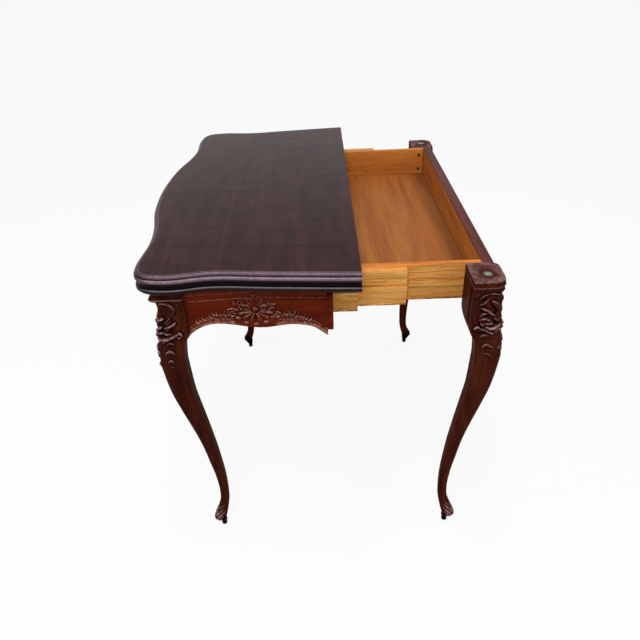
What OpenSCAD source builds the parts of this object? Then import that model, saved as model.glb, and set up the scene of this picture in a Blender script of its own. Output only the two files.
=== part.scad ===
// Games table with a fold-over serpentine top. The back legs pull out on
// telescopic slides and carry the opened leaf. The table is drawn with its
// top folded and its frame partly pulled out. X runs along the hinge line,
// the bowed front looks to -Y, and the floor is Z = 0. All sizes are in mm.

/* [Top leaves] */
// Width of each leaf over its mouldings at the hinge edge
leaf_w = 920; // [890:5:950]
// Depth of each leaf from the hinge line to the middle of the bowed front
leaf_d = 450; // [440:5:470]
// Thickness of each leaf
leaf_t = 21; // [19:0.5:24]
// Width of the edge moulding outside the flat field
mould_w = 10.5; // [9:0.5:13]
// How far the hollows of the front lie behind its middle
hollow_in = 35; // [28:1:38]
// Distance of each hollow of the front from the middle
hollow_x = 293; // [280:1:300]
// Width of the wooden border round the baize
border_w = 48; // [40:1:70]
// Thickness of the baize
baize_t = 1; // [0.6:0.1:1.6]

/* [Legs] */
// Height of the front legs, up to the underside of the fixed leaf
leg_h = 718; // [700:2:740]
// How far the legs stand in from the sides of the top
leg_side_in = 30; // [24:1:36]
// How far the front legs stand behind the bowed front
leg_front_in = 60; // [56:1:66]
// Size of the leg's top block from front to back
block_y = 61; // [56:1:66]
// Height of the straight top block
block_h = 92; // [84:1:96]
// Thickness of the plate at the top of the block
plate_h = 20; // [16:1:24]
// Radius of the rounded outer corner of the plates on the back legs
plate_r = 18; // [12:1:24]
// Radius of the same corner under the top, on the front legs
front_plate_r = 6; // [3:1:18]
// How far the lip at the bottom of the plate stands out
plate_lip = 1.6; // [0.5:0.1:2.5]
// How deep the neck under the plate is cut in
neck_in = 2.5; // [1:0.5:6]
// Height of the knee above the floor
knee_h = 545; // [530:5:560]
// How far the knee swells beyond the block
knee_out = 9; // [5:1:12]
// Thickness of the leg at the knee
knee_w = 54; // [50:1:58]
// Height of the ankle above the floor
ankle_h = 105; // [98:1:120]
// How far the ankle curves in behind the block's outer face
ankle_in = 50; // [44:1:56]
// Thickness of the leg at the ankle
ankle_w = 21.5; // [19:0.5:26]
// Height of the scroll toe above the floor
toe_h = 38; // [34:1:44]
// How far the toe lies behind the block's outer face
toe_in = 31; // [26:1:36]
// Thickness of the leg at the toe
toe_w = 32; // [28:1:35]
// How far the sole is drawn in under the toe
sole_in = 9.5; // [7:0.5:11]
// Thickness of the leg at the sole
sole_w = 19; // [17:0.5:22]
// Diameter of the turned peg foot
peg_d = 13; // [11:0.5:16]
// Height of the peg foot
peg_h = 16; // [12:1:20]

/* [Aprons and rails] */
// Thickness of the side aprons
apron_t = 18; // [16:0.5:20]
// Thickness of the bowed front apron
front_apron_t = 22; // [20:0.5:24]
// How far the side aprons lie behind the legs' outer faces
apron_set = 10; // [8:0.5:12]
// How far the front apron lies behind the edge of the top
front_set = 33; // [30:0.5:36]
// Depth of a side apron at its middle
side_mid_drop = 93.5; // [92:0.5:100]
// Depth of the front apron and the back rail at their middle
long_mid_drop = 101; // [98:1:108]
// Depth of the aprons at the crown of their arches
arch_drop = 82.5; // [82:0.5:88]
// Depth of the aprons at the legs
end_drop = 106; // [104:0.5:112]
// Thickness of the back rail
back_rail_t = 21; // [19:0.5:24]
// Thickness of the oak lining on the back rail
lining_t = 6; // [5:0.5:8]
// Height of the rail's lip over the lining
lip_h = 3; // [2:0.5:5]
// Length of the tongue at the open end of each side apron
tongue_len = 11; // [8:0.5:12]
// Height of the cross rail under the slides
cross_h = 12; // [10:0.5:14]
// Width of the cross rail from front to back
cross_w = 20; // [18:1:24]
// Thickness of the tenons
tenon_t = 9; // [7:0.5:10]
// Length of the tenons
tenon_len = 18; // [14:1:20]

/* [Slides] */
// Thickness of each moving slide
slide_t = 17; // [15:0.5:18]
// Height of the slides and the box sides
slide_h = 78; // [74:1:79]
// Length of each moving slide
slide_len = 262; // [240:2:264]
// Thickness of the fixed rail on the apron
fixed_t = 12; // [11:0.5:13]
// How far each tongue stands out of its board
rib_out = 5; // [4:0.5:6]
// Height of each tongue
rib_h = 11.4; // [9:0.2:14]

/* [Box] */
// Thickness of the box sides
box_side_t = 13; // [12:0.5:15]
// Thickness of the box front board
box_front_t = 13; // [10:0.5:15]
// Thickness of the box floor
floor_t = 6; // [5:0.5:7]
// Depth of the box well under its top edge
well_h = 70.5; // [66:0.5:71]
// Length of the box from the back rail to its front
box_len = 322; // [300:2:324]
// Depth of the grooves that hold the floor
floor_groove = 5; // [4:0.5:6]

/* [Extension] */
// How far the frame is drawn out in the pose that is shown
pull_rest = 266; // [240:2:300]
// Share of the frame's travel that the first slide makes
share_1 = 0.22; // [0.15:0.01:0.3]
// Share of the frame's travel that the second slide makes
share_2 = 0.58; // [0.5:0.01:0.65]

/* [Hardware] */
// Width of each hinge along the hinge line
hinge_w = 62; // [50:2:80]
// Depth of each hinge plate on its leaf
hinge_d = 24; // [20:1:30]
// Thickness of the hinge plates
hinge_t = 2; // [1.6:0.1:2.4]
// Radius of the hinge knuckles
knuckle_r = 3; // [2.6:0.1:3.4]
// Radius of the hinge pins
pin_r = 1.25; // [1:0.05:1.5]
// Distance of the outer hinges from the middle one
hinge_pitch = 330; // [280:10:360]
// Diameter of the rest studs' domed heads
stud_d = 14; // [12:0.5:16]
// Diameter of the cups round the rest studs
cup_d = 22; // [20:0.5:26]
// Depth of the cups in the leg tops
cup_t = 1.2; // [1:0.1:2]
// Diameter of the studs' shanks
stud_shank_d = 5; // [4:0.5:6]
// Diameter of the wood screws' shanks
screw_d = 4; // [3.5:0.1:4.5]
// Diameter of the wood screws' heads
screw_head_d = 8; // [7:0.5:9]
// Height of the wood screws' heads
screw_head_h = 3; // [2:0.5:3.5]
// Diameter of the hinge screws' shanks
hinge_screw_d = 2.6; // [2:0.1:3]
// Diameter of the hinge screws' heads
hinge_head_d = 5.2; // [4.6:0.2:6]

/* [Clearances] */
// Gap round a tongue in its groove and between faces that slide
run_gap = 0.3; // [0.3:0.05:0.4]
// Gap between neighbouring boards of the slides
board_gap = 1; // [0.8:0.1:1.2]
// Gap round a fixed screw, tenon or peg
fit_gap = 0.1; // [0.05:0.05:0.2]
// Gap between the slides and the underside of the top
under_gap = 1.5; // [1:0.1:2]
// Half of the gap between the two leaves
leaf_gap = 0.15; // [0.15:0.05:0.25]
// Gap round a hinge pin
pin_gap = 0.12; // [0.1:0.02:0.16]

/* [Hidden] */

// Cuts run this far past the faces that they open through
cut = 1;

// The hinge line's place along Y puts the origin under the middle of the table
hinge_y = (leaf_d - pull_rest - knee_out) / 2;
hinge_z = leg_h + leaf_t;

// Faces and boards on the right side, as distances from the middle
leg_x = leaf_w / 2 - leg_side_in;
apron_x = leg_x - apron_set;
fixed_x = apron_x - apron_t;
slide_1_x = fixed_x - fixed_t - board_gap;
slide_2_x = slide_1_x - slide_t - board_gap;
box_x = slide_2_x - slide_t - board_gap;
box_in_x = box_x - box_side_t;
back_block_x = leg_x - box_x;
front_block_x = back_block_x - board_gap;

// Places along Y, measured from the hinge line, with the frame closed
leg_front_y = -leaf_d + leg_front_in;
leg_front_in_y = leg_front_y + block_y;
shoulder_gap = 1;
back_rail_set = 8;
shoulder_y = -block_y - shoulder_gap;
slide_start_y = shoulder_y - slide_len;
rail_in_y = -back_rail_t - back_rail_set;
box_start_y = rail_in_y - box_len;

// Heights of the slides and the box
slide_top = leg_h - under_gap;
slide_bottom = slide_top - slide_h;
floor_top = slide_top - well_h;
rib_z = slide_bottom + slide_h / 2;
rib_slot = rib_out - board_gap + run_gap;
rib_slot_h = rib_h + 2 * run_gap;
stud_top = leg_h - run_gap;

// Where the parts stand in the pose that is drawn
slide_1_y = share_1 * pull_rest;
slide_2_y = share_2 * pull_rest;

// Screw holes
hole_d = screw_d + 2 * fit_gap;
head_hole_d = screw_head_d + 1;
head_seat_h = 25;
leaf_screw_in = 13;

// Smooth shapes

// Runs from 0 to 1 and is level at both ends
function ease(t) = (1 - cos(180 * t)) / 2;

// Value at height z on a smooth curve from z_top to z_low
function curve(z, z_top, v_top, z_low, v_low) =
    v_top + (v_low - v_top) * ease((z_top - z) / (z_top - z_low));

// Point on a smooth line through four points, between the second and the third
function smooth_point(a, b, c, d, t) =
    0.5 * (2 * b + (c - a) * t + (2 * a - 5 * b + 4 * c - d) * t * t
    + (3 * b - a - 3 * c + d) * t * t * t);

// Smooth line through points; the first and last only steer its ends
function smooth_line(points, steps) = concat(
    [for (i = [1 : len(points) - 3]) for (k = [0 : steps - 1])
        smooth_point(points[i - 1], points[i], points[i + 1], points[i + 2], k / steps)],
    [points[len(points) - 2]]);

function reversed(list) = [for (i = [len(list) - 1 : -1 : 0]) list[i]];
function flipped(points) = [for (p = points) [-p[0], p[1]]];

// Solid through rings of equally many points. Each ring runs anticlockwise as
// seen from the rings that follow it, and its first point sees all its others
module loft(rings) {
    n = len(rings[0]);
    m = len(rings);
    points = [for (ring = rings) for (p = ring) p];
    sides = [for (i = [0 : m - 2]) for (k = [0 : n - 1])
        let (a = i * n + k, b = i * n + (k + 1) % n)
        each [[a, a + n, b + n], [a, b + n, b]]];
    first = [for (k = [0 : n - 1]) k];
    last = [for (k = [n - 1 : -1 : 0]) (m - 1) * n + k];
    polyhedron(points, concat([first], sides, [last]));
}

// Box given by its lowest and highest corners
module block(low, high) {
    translate(low) cube(high - low);
}

// A pair of pieces, one on each side of the table
module both_sides() {
    for (side = [0, 1]) mirror([side, 0, 0]) children();
}

// Pieces below are written from the hinge line, with the frame closed
module at_hinge() {
    translate([0, hinge_y, 0]) children();
}
module on_slide_1() {
    translate([0, hinge_y + slide_1_y, 0]) children();
}
module on_slide_2() {
    translate([0, hinge_y + slide_2_y, 0]) children();
}
module on_frame() {
    translate([0, hinge_y + pull_rest, 0]) children();
}

// Outline of the top

// Ear and side of the leaf: how far in from the side, how far behind the front
side_points = [[75, 30.5], [26, 46], [11.5, 100], [21.5, 185], [12, 290]];
bow_x = 120;
bow_in = 8;
flank_x = 220;
flank_in = 28;
outline_steps = 3;
steer_y = 96;
right_edge = smooth_line(concat(
    [[-bow_x, bow_in - leaf_d], [0, -leaf_d], [bow_x, bow_in - leaf_d],
     [flank_x, flank_in - leaf_d], [hollow_x, hollow_in - leaf_d]],
    [for (p = side_points) [leaf_w / 2 - p[0], p[1] - leaf_d]],
    [[leaf_w / 2, 0], [leaf_w / 2, steer_y]]), outline_steps);

// Inward direction at each point of the right edge
function inward(i) =
    let (last = len(right_edge) - 1,
        a = i == 0 ? flipped(right_edge)[1] : right_edge[i - 1],
        b = i == last ? right_edge[last] + [0, 1] : right_edge[i + 1],
        c = i == last ? right_edge[last] : a,
        d = (b - c) / norm(b - c))
    [-d[1], d[0]];

// Right edge moved in, and run on past the hinge line, where the leaf is trimmed
function edge_in(inset, run_on) = concat(
    [for (i = [0 : len(right_edge) - 1]) right_edge[i] + inset * inward(i)],
    [[leaf_w / 2 - inset, run_on]]);

function leaf_outline(inset) =
    let (right = edge_in(inset, 2 * cut), left = reversed(flipped(right)))
    concat(right, [for (i = [0 : len(left) - 2]) left[i]]);

// Y of the leaf's front edge at distance x from the middle
function front_y(x) = lookup(abs(x), [for (p = right_edge) if (p[1] < leg_front_y) p]);

// Edge moulding of a leaf: how far in, and how far from the show face
bead_drop = 1;
ovolo_out = 3.4;
nosing_in = 2.6;
nosing_top = leaf_t * 0.33;
nosing_low = leaf_t * 0.70;
nosing_mid = (nosing_top + nosing_low) / 2;
nosing_r = (nosing_low - nosing_top) / 2;
recess_in = 4.6;
recess_drop = 0.8;
overlap = 2;
edge_profile = concat(
    [[mould_w + overlap, nosing_low + recess_drop],
     [mould_w + overlap, bead_drop], [mould_w, bead_drop]],
    [for (a = [25, 50, 72, 90]) [
        mould_w - (mould_w - ovolo_out) * sin(a),
        nosing_top - (nosing_top - bead_drop) * cos(a)]],
    [for (a = [-80 : 40 : 80]) [nosing_in * (1 - cos(a)), nosing_mid + nosing_r * sin(a)]],
    [[recess_in + 1, nosing_low + recess_drop]]);

// Leaf as it lies in the closed top, with its show face at Z = 0 and its
// playing face above it
module leaf_blank() {
    insets = [for (p = edge_profile) edge_in(p[0], cut)];
    last = len(right_edge);
    difference() {
        union() {
            linear_extrude(leaf_t - leaf_gap) polygon(leaf_outline(mould_w));
            translate([0, 0, nosing_low - overlap])
                linear_extrude(leaf_t - leaf_gap - nosing_low + overlap)
                    polygon(leaf_outline(recess_in));
            loft([for (i = [last : -1 : -last]) [for (k = [0 : len(edge_profile) - 1])
                let (p = insets[k][abs(i)], side = i < 0 ? -1 : 1)
                [side * p[0], p[1], edge_profile[k][1]]]]);
        }
        translate([-leaf_w / 2 - cut, -leaf_gap, -cut])
            cube([leaf_w + 2 * cut, 3 * cut, leaf_t + 2 * cut]);
    }
}

// Field of the baize, border_w inside the leaf's edge, grown by a gap for its recess
module baize_field(z_low, height, grow) {
    translate([0, 0, z_low])
        linear_extrude(height)
            intersection() {
                offset(delta = grow - border_w) polygon(leaf_outline(0));
                translate([-leaf_w / 2, -leaf_d - border_w])
                    square([leaf_w, leaf_d + grow]);
            }
}

// Hinges

hinge_xs = [-hinge_pitch, 0, hinge_pitch];
knuckle_count = 5;
knuckle_len = hinge_w / knuckle_count;
knuckle_gap = 0.6;
plate_start = knuckle_r + knuckle_gap;
knuckle_space = knuckle_r + run_gap;
hinge_screw_xs = [-hinge_w / 3, 0, hinge_w / 3];
hinge_screw_y = -hinge_d * 0.6;
hinge_screw_len = 10;
hinge_head_h = hinge_t * 0.7;

// Half of a hinge; turn is -1 for the plate on the lower leaf and 1 for the upper
module hinge_half(turn) {
    first = turn < 0 ? 0 : 1;
    difference() {
        union() {
            plate_z = turn < 0 ? -leaf_gap - hinge_t : leaf_gap;
            translate([-hinge_w / 2, -hinge_d, plate_z])
                cube([hinge_w, hinge_d - plate_start, hinge_t]);
            for (i = [first : 2 : knuckle_count - 1]) {
                low_x = -hinge_w / 2 + i * knuckle_len + run_gap / 2;
                long = knuckle_len - run_gap;
                translate([low_x, -plate_start - cut, plate_z])
                    cube([long, plate_start + cut - pin_r - 2 * pin_gap, hinge_t]);
                translate([low_x, 0, 0])
                    rotate([0, 90, 0]) cylinder(r = knuckle_r, h = long, $fn = 48);
            }
        }
        translate([-hinge_w / 2 - cut, 0, 0])
            rotate([0, 90, 0])
                cylinder(r = pin_r + pin_gap, h = hinge_w + 2 * cut, $fn = 48);
        for (x = hinge_screw_xs)
            translate([x, hinge_screw_y, 0]) hinge_screw(turn, fit_gap);
    }
}

// Hinge screw from the plate's face into the leaf, grown by a gap for its hole
module hinge_screw(turn, gap) {
    mirror([0, 0, turn < 0 ? 1 : 0])
        translate([0, 0, leaf_gap]) {
            cylinder(d = hinge_screw_d + 2 * gap, h = hinge_screw_len + gap, $fn = 32);
            cylinder(d1 = hinge_head_d + 2 * gap, d2 = hinge_screw_d + 2 * gap,
                h = hinge_head_h, $fn = 32);
        }
}

// Room for the hinges in a leaf
module hinge_room(turn) {
    for (x = hinge_xs) translate([x, 0, hinge_z]) {
        long = hinge_w + 2 * fit_gap;
        translate([-long / 2, 0, 0])
            rotate([0, 90, 0]) cylinder(r = knuckle_space, h = long, $fn = 48);
        depth = leaf_gap + hinge_t;
        low_z = turn < 0 ? -depth : 0;
        translate([-long / 2, -hinge_d - fit_gap, low_z])
            cube([long, hinge_d + fit_gap + cut, depth]);
        for (sx = hinge_screw_xs) translate([sx, hinge_screw_y, 0]) hinge_screw(turn, fit_gap);
    }
}

module hinge_screws(turn) {
    at_hinge() for (x = hinge_xs) for (sx = hinge_screw_xs)
        translate([x + sx, hinge_screw_y, hinge_z]) hinge_screw(turn, 0);
}

// Legs

peg_mid = -(toe_in + sole_in + sole_w / 2);
spigot_len = 14;
spigot_d = peg_d * 0.6;
plate_z = leg_h - plate_h;
plate_lap = 2;
lip_t = 4;
neck_z = plate_z - 22;
block_z = leg_h - block_h;
taper_h = 34;
inner_step = 0.4;
block_round = 1.5;

// Stations of the leg: [height, outer face from the block's outer face, thickness]
sole = [peg_h, -toe_in - sole_in, sole_w];
toe = [toe_h, -toe_in, toe_w];
ankle = [ankle_h, -ankle_in, ankle_w];
knee = [knee_h, knee_out, knee_w];

// Sections between two stations, as shares of the way for each of the three
sole_to_toe = [[0, 0, 0], [0.32, 0.55, 0.46], [0.64, 0.95, 0.83]];
toe_to_ankle = [[0, 0, 0], [0.1, 0.05, 0], [0.22, 0.27, 0.19], [0.36, 0.53, 0.54],
    [0.52, 0.78, 0.85], [0.7, 0.93, 0.97]];
ankle_to_knee = [[0, 0, 0], [0.13, 0.04, 0.09], [0.28, 0.17, 0.23], [0.38, 0.26, 0.3],
    [0.47, 0.365, 0.38], [0.56, 0.49, 0.495], [0.65, 0.625, 0.62], [0.73, 0.74, 0.72],
    [0.81, 0.85, 0.815], [0.9, 0.935, 0.92], [1, 1, 1]];
function between(shares, low, high) = [for (t = shares)
    [for (i = [0 : 2]) low[i] + t[i] * (high[i] - low[i])]];

// Heights of the sections from the knee up into the plate
block_zs = [block_z - taper_h, block_z - taper_h * 0.6, block_z - taper_h * 0.3, block_z,
    neck_z - 26, neck_z, plate_z - 8, plate_z + plate_lap];
leg_sections = concat(between(sole_to_toe, sole, toe), between(toe_to_ankle, toe, ankle),
    between(ankle_to_knee, ankle, knee),
    [for (z = block_zs) [z, z > neck_z
        ? curve(z, plate_z + plate_lap, -inner_step, neck_z, -neck_in)
        : curve(z, neck_z, -neck_in, knee_h, knee_out), knee_w]]);

// How far down the taper under the block a height lies, from 0 to 1
function tapered(z) = max(0, min(1, (block_z - z) / taper_h));

// Inner face of the leg, where the block is wide in that direction
function leg_in(section, wide) =
    let (slim = section[1] - section[2])
    slim + (inner_step - wide - slim) * (1 - sin(90 * tapered(section[0])));

// Section of the leg in X and Y: its outer and inner corners are rounded most
corner_steps = 4;
outer_round = 0.42;
inner_round = 0.44;
side_round = 0.1;
function leg_ring(section, block_x) =
    let (z = section[0], out = section[1], t = tapered(z), full = section[2] - block_round,
        in_x = leg_in(section, block_x), in_y = leg_in(section, block_y),
        side_r = block_round + side_round * t * full)
    [for (c = [[out, out, section[2] * outer_round, 0], [in_x, out, side_r, 90],
        [in_x, in_y, block_round + inner_round * t * full, 180], [out, in_y, side_r, 270]])
        for (k = [0 : corner_steps])
            let (a = c[3] + 90 * k / corner_steps,
                sx = c[3] == 0 || c[3] == 270 ? -1 : 1,
                sy = c[3] < 180 ? -1 : 1)
            [c[0] + sx * c[2] + c[2] * cos(a), c[1] + sy * c[2] + c[2] * sin(a), z]];

// Plate at the top of the leg's block, with its outer corner rounded
module plate(block_x, z_low, z_high, corner_r, grow) {
    translate([0, 0, z_low]) linear_extrude(z_high - z_low)
        polygon(concat(
            [[-block_x, -block_y], [grow, -block_y]],
            [for (a = [0 : 15 : 90])
                [corner_r * (cos(a) - 1) + grow, corner_r * (sin(a) - 1) + grow]],
            [[-block_x, grow]]));
}

// Leg with its block's outer corner over the origin and its outer faces to +X, +Y
module leg_blank(block_x, top, corner_r) {
    core = plate_h + neck_in;
    loft([for (section = leg_sections) leg_ring(section, block_x)]);
    block([-block_x, -block_y, block_z], [-core, -core, top]);
    plate(block_x, plate_z, top, corner_r, 0);
    plate(block_x, plate_z, plate_z + lip_t, corner_r, plate_lip);
}

module peg_hole() {
    translate([peg_mid, peg_mid, peg_h - cut])
        cylinder(d = spigot_d + 2 * fit_gap, h = spigot_len + cut + fit_gap, $fn = 32);
}

module peg() {
    chamfer = 1.5;
    translate([peg_mid, peg_mid, 0]) {
        cylinder(d1 = peg_d - 2 * chamfer, d2 = peg_d, h = chamfer, $fn = 40);
        translate([0, 0, chamfer]) cylinder(d = peg_d, h = peg_h - chamfer, $fn = 40);
        cylinder(d = spigot_d, h = peg_h + spigot_len, $fn = 32);
    }
}

// Corners where the blocks of the front and back legs stand
module at_front_corner() {
    translate([leg_x, leg_front_y, 0]) mirror([0, 1, 0]) children();
}
module at_back_corner() {
    translate([leg_x, 0, 0]) children();
}

// Tenons of the aprons, also used, grown by a gap, for their mortises
tenon_low = block_z + 10;
tenon_top = plate_z;
tenon_root = 8;
module side_tenon(gap) {
    mid = apron_x - apron_t / 2;
    block([mid - tenon_t / 2 - gap, leg_front_in_y - tenon_len - gap, tenon_low - gap],
        [mid + tenon_t / 2 + gap, leg_front_in_y + cut, tenon_top + gap]);
}
front_tenon_y = leg_front_y + 12;
module front_tenon(gap) {
    face = leg_x - front_block_x;
    block([face - cut - tenon_root, front_tenon_y - gap, tenon_low - gap],
        [face + tenon_len + gap, front_tenon_y + tenon_t + gap, tenon_top + gap]);
}
rail_tenon_y = -back_rail_set - back_rail_t / 2 - tenon_t / 2;
module rail_tenon(gap) {
    block([box_x - cut, rail_tenon_y - gap, tenon_low - gap],
        [box_x + tenon_len + gap, rail_tenon_y + tenon_t + gap, tenon_top + gap]);
}

// Tongue at the open end of a side apron, and its slot in the back leg
slot_gap = 0.5;
tongue_set = 2;
tongue_lift = 5;
tongue_top = plate_z - tongue_set;
tongue_low = leg_h - end_drop + tongue_lift;
tongue_x = apron_x - tongue_set;
tongue_t = apron_t - 2 * tongue_set;
module apron_tongue(gap) {
    block([tongue_x - tongue_t - gap, shoulder_y - cut, tongue_low - gap],
        [tongue_x + gap, shoulder_y + tongue_len + gap, tongue_top + gap]);
}

// Studs on the back legs, under the opened leaf
stud_x = leg_x - 34;
stud_y = -30;
stud_len = 20;
stud_rise = stud_top - slide_top;

// Screws through the box sides into the back legs
box_screw_y = rail_in_y - 14;
box_screw_zs = [slide_top - 18, slide_top - 58];
box_screw_in = 20;
box_head_d = screw_head_d + 2;

module front_leg() {
    difference() {
        at_front_corner() {
            difference() {
                leg_blank(front_block_x, leg_h, front_plate_r);
                peg_hole();
            }
        }
        side_tenon(fit_gap);
        front_tenon(fit_gap);
    }
}

module back_leg() {
    difference() {
        at_back_corner() {
            difference() {
                leg_blank(back_block_x, slide_top, plate_r);
                peg_hole();
            }
        }
        rail_tenon(fit_gap);
        apron_tongue(slot_gap);
        translate([stud_x, stud_y, slide_top - cup_t])
            cylinder(d = cup_d + 2 * fit_gap, h = cup_t + cut, $fn = 48);
        translate([stud_x, stud_y, slide_top - stud_len - fit_gap])
            cylinder(d = stud_shank_d + 2 * fit_gap, h = stud_len + cut, $fn = 32);
        for (z = box_screw_zs)
            translate([box_x - cut, box_screw_y, z])
                rotate([0, 90, 0]) cylinder(d = hole_d, h = box_screw_in + cut, $fn = 32);
    }
}

module stud() {
    translate([stud_x, stud_y, 0]) {
        translate([0, 0, slide_top - stud_len])
            cylinder(d = stud_shank_d, h = stud_len, $fn = 32);
        translate([0, 0, slide_top]) intersection() {
            cylinder(d = stud_d, h = stud_rise, $fn = 48);
            dome_r = (pow(stud_d / 2, 2) + pow(stud_rise, 2)) / (2 * stud_rise);
            translate([0, 0, stud_rise - dome_r]) sphere(r = dome_r, $fn = 96);
        }
    }
}

module cup() {
    translate([stud_x, stud_y, slide_top - cup_t]) difference() {
        cylinder(d = cup_d, h = cup_t, $fn = 48);
        translate([0, 0, -cut])
            cylinder(d = stud_shank_d + 2 * fit_gap, h = cup_t + 2 * cut, $fn = 32);
    }
}

// Aprons and rails

// Lower edge of an apron: points [distance from its middle, height]
edge_steps = 4;
rise_share = 0.34;
rise_height = 0.58;
arch_share = 0.61;
shoulder_share = 0.81;
shoulder_drop = 6;
steer_share = 1.1;
steer_drop = 26;
function lower_edge(half, mid_drop) =
    let (rise_drop = mid_drop + rise_height * (arch_drop - mid_drop),
        line = smooth_line([
            [-half * rise_share, leg_h - rise_drop],
            [0, leg_h - mid_drop],
            [half * rise_share, leg_h - rise_drop],
            [half * arch_share, leg_h - arch_drop],
            [half * shoulder_share, leg_h - arch_drop - shoulder_drop],
            [half, leg_h - end_drop],
            [half * steer_share, leg_h - end_drop - steer_drop]], edge_steps))
    concat(reversed(flipped(line)), [for (i = [1 : len(line) - 1]) line[i]]);

// Upright board with a shaped lower edge, lying along X with its back on Y = 0
module shaped_board(half, mid_drop, thick, top) {
    rotate([90, 0, 0]) translate([0, 0, -thick])
        linear_extrude(thick)
            polygon(concat(lower_edge(half, mid_drop), [[half, top], [-half, top]]));
}

side_mid_y = (leg_front_in_y + shoulder_y) / 2;
side_half = (shoulder_y - leg_front_in_y) / 2;
leaf_screw_ys = [side_mid_y - side_half * 0.55, side_mid_y + side_half * 0.5];
rail_screw_ys = [for (share = [-0.75, 0, 0.75]) side_mid_y + side_half * share];
rail_screw_z = slide_top - 18;
rail_screw_in = 10;

cross_y = shoulder_y - 4 - cross_w;
cross_z = slide_bottom - under_gap - cross_h;
stub_len = 8;
stub_in = [0, 4, 3];
module cross_stub(gap) {
    grow = [0, gap, gap];
    block([fixed_x - cut, cross_y, cross_z] + stub_in - grow,
        [fixed_x + stub_len + gap, cross_y + cross_w, cross_z + cross_h] - stub_in + grow);
}

module apron_screw_hole() {
    translate([0, 0, leg_h - head_seat_h]) {
        cylinder(d = hole_d, h = head_seat_h + cut, $fn = 32);
        translate([0, 0, -end_drop]) cylinder(d = head_hole_d, h = end_drop, $fn = 32);
    }
}

module side_apron() {
    difference() {
        union() {
            translate([apron_x, side_mid_y, 0])
                rotate([0, 0, 90]) shaped_board(side_half, side_mid_drop, apron_t, leg_h);
            side_tenon(0);
            apron_tongue(0);
        }
        cross_stub(fit_gap);
        for (y = leaf_screw_ys)
            translate([apron_x - apron_t / 2, y, 0]) apron_screw_hole();
        for (y = rail_screw_ys)
            translate([fixed_x - cut, y, rail_screw_z])
                rotate([0, 90, 0]) cylinder(d = hole_d, h = rail_screw_in + cut, $fn = 32);
    }
}

// Bowed front apron: its face follows the edge of the top
front_half = leg_x - front_block_x;
front_apron_xs = [for (i = [-12 : 12]) i * front_half / 12];
front_screw_xs = [-front_half * 0.45, front_half * 0.45];
function front_screw_y(x) = front_y(x) + front_set + front_apron_t / 2;

module front_plan() {
    polygon(concat(
        [for (x = front_apron_xs) [x, front_y(x) + front_set]],
        reversed([for (x = front_apron_xs) [x, front_y(x) + front_set + front_apron_t]])));
}

// Aprons as nodes

module front_apron() {
    color("#4a1a10") at_hinge() difference() {
        union() {
            intersection() {
                linear_extrude(leg_h) front_plan();
                translate([0, -leaf_d, 0])
                    shaped_board(front_half, long_mid_drop, leaf_d, leg_h);
            }
            both_sides() front_tenon(0);
        }
        for (x = front_screw_xs) translate([x, front_screw_y(x), 0]) apron_screw_hole();
    }
}

module right_apron() {
    color("#6a2610") at_hinge() side_apron();
}
module left_apron() {
    color("#6a2610") at_hinge() mirror([1, 0, 0]) side_apron();
}

module cross_rail() {
    color("#a8743c") at_hinge() {
        block([-fixed_x, cross_y, cross_z], [fixed_x, cross_y + cross_w, cross_z + cross_h]);
        both_sides() cross_stub(0);
    }
}

// Glue blocks behind the front apron's ends and in the cross rail's corners
glue_size = 22;
glue_h = 14;
glue_z = slide_bottom - under_gap - glue_h - 1;
back_glue_h = 8;
module glue_prism(height) {
    linear_extrude(height) polygon([[0, 0], [-glue_size, 0], [0, glue_size]]);
}
glue_y = front_y(front_half - glue_size) + front_set + front_apron_t + run_gap;
module glue_blocks() {
    color("#a8743c") at_hinge() both_sides() {
        translate([front_half, glue_y, glue_z])
            glue_prism(glue_h);
        translate([fixed_x, cross_y, cross_z + cross_h - back_glue_h])
            mirror([0, 1, 0]) glue_prism(back_glue_h);
    }
}

module front_right_leg() {
    color("#3c1410") at_hinge() front_leg();
}
module front_left_leg() {
    color("#3c1410") at_hinge() mirror([1, 0, 0]) front_leg();
}
module front_feet() {
    color("#1c1010") at_hinge() both_sides() at_front_corner() peg();
}

// Fixed leaf and folding leaf

leaf_hole_depth = leaf_screw_in + fit_gap;
module leaf_screw_holes() {
    translate([0, 0, leg_h - cut]) {
        both_sides() for (y = leaf_screw_ys)
            translate([apron_x - apron_t / 2, y, 0])
                cylinder(d = hole_d, h = leaf_hole_depth + cut, $fn = 32);
        for (x = front_screw_xs) translate([x, front_screw_y(x), 0])
            cylinder(d = hole_d, h = leaf_hole_depth + cut, $fn = 32);
    }
}

module fixed_leaf() {
    color("#4b383a") at_hinge() difference() {
        translate([0, 0, leg_h]) leaf_blank();
        baize_field(hinge_z - leaf_gap - baize_t, baize_t + cut, fit_gap);
        hinge_room(-1);
        leaf_screw_holes();
    }
}

module folding_leaf() {
    color("#4b383a") at_hinge() difference() {
        translate([0, 0, hinge_z + leaf_t]) mirror([0, 0, 1]) leaf_blank();
        baize_field(hinge_z - cut, baize_t + leaf_gap + cut, fit_gap);
        hinge_room(1);
    }
}

module fixed_baize() {
    color("#2f6b45") at_hinge() baize_field(hinge_z - leaf_gap - baize_t, baize_t, 0);
}
module folding_baize() {
    color("#2f6b45") at_hinge() baize_field(hinge_z + leaf_gap, baize_t, 0);
}

// Screws of the carcase

module wood_screw(length) {
    cylinder(d = screw_head_d, h = screw_head_h, $fn = 32);
    cylinder(d = screw_d, h = length, $fn = 32);
}

leaf_screw_len = screw_head_h + head_seat_h + leaf_screw_in;
module leaf_screws() {
    color("#8a8378") at_hinge() translate([0, 0, leg_h - head_seat_h - screw_head_h]) {
        both_sides() for (y = leaf_screw_ys)
            translate([apron_x - apron_t / 2, y, 0]) wood_screw(leaf_screw_len);
        for (x = front_screw_xs)
            translate([x, front_screw_y(x), 0]) wood_screw(leaf_screw_len);
    }
}

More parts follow.
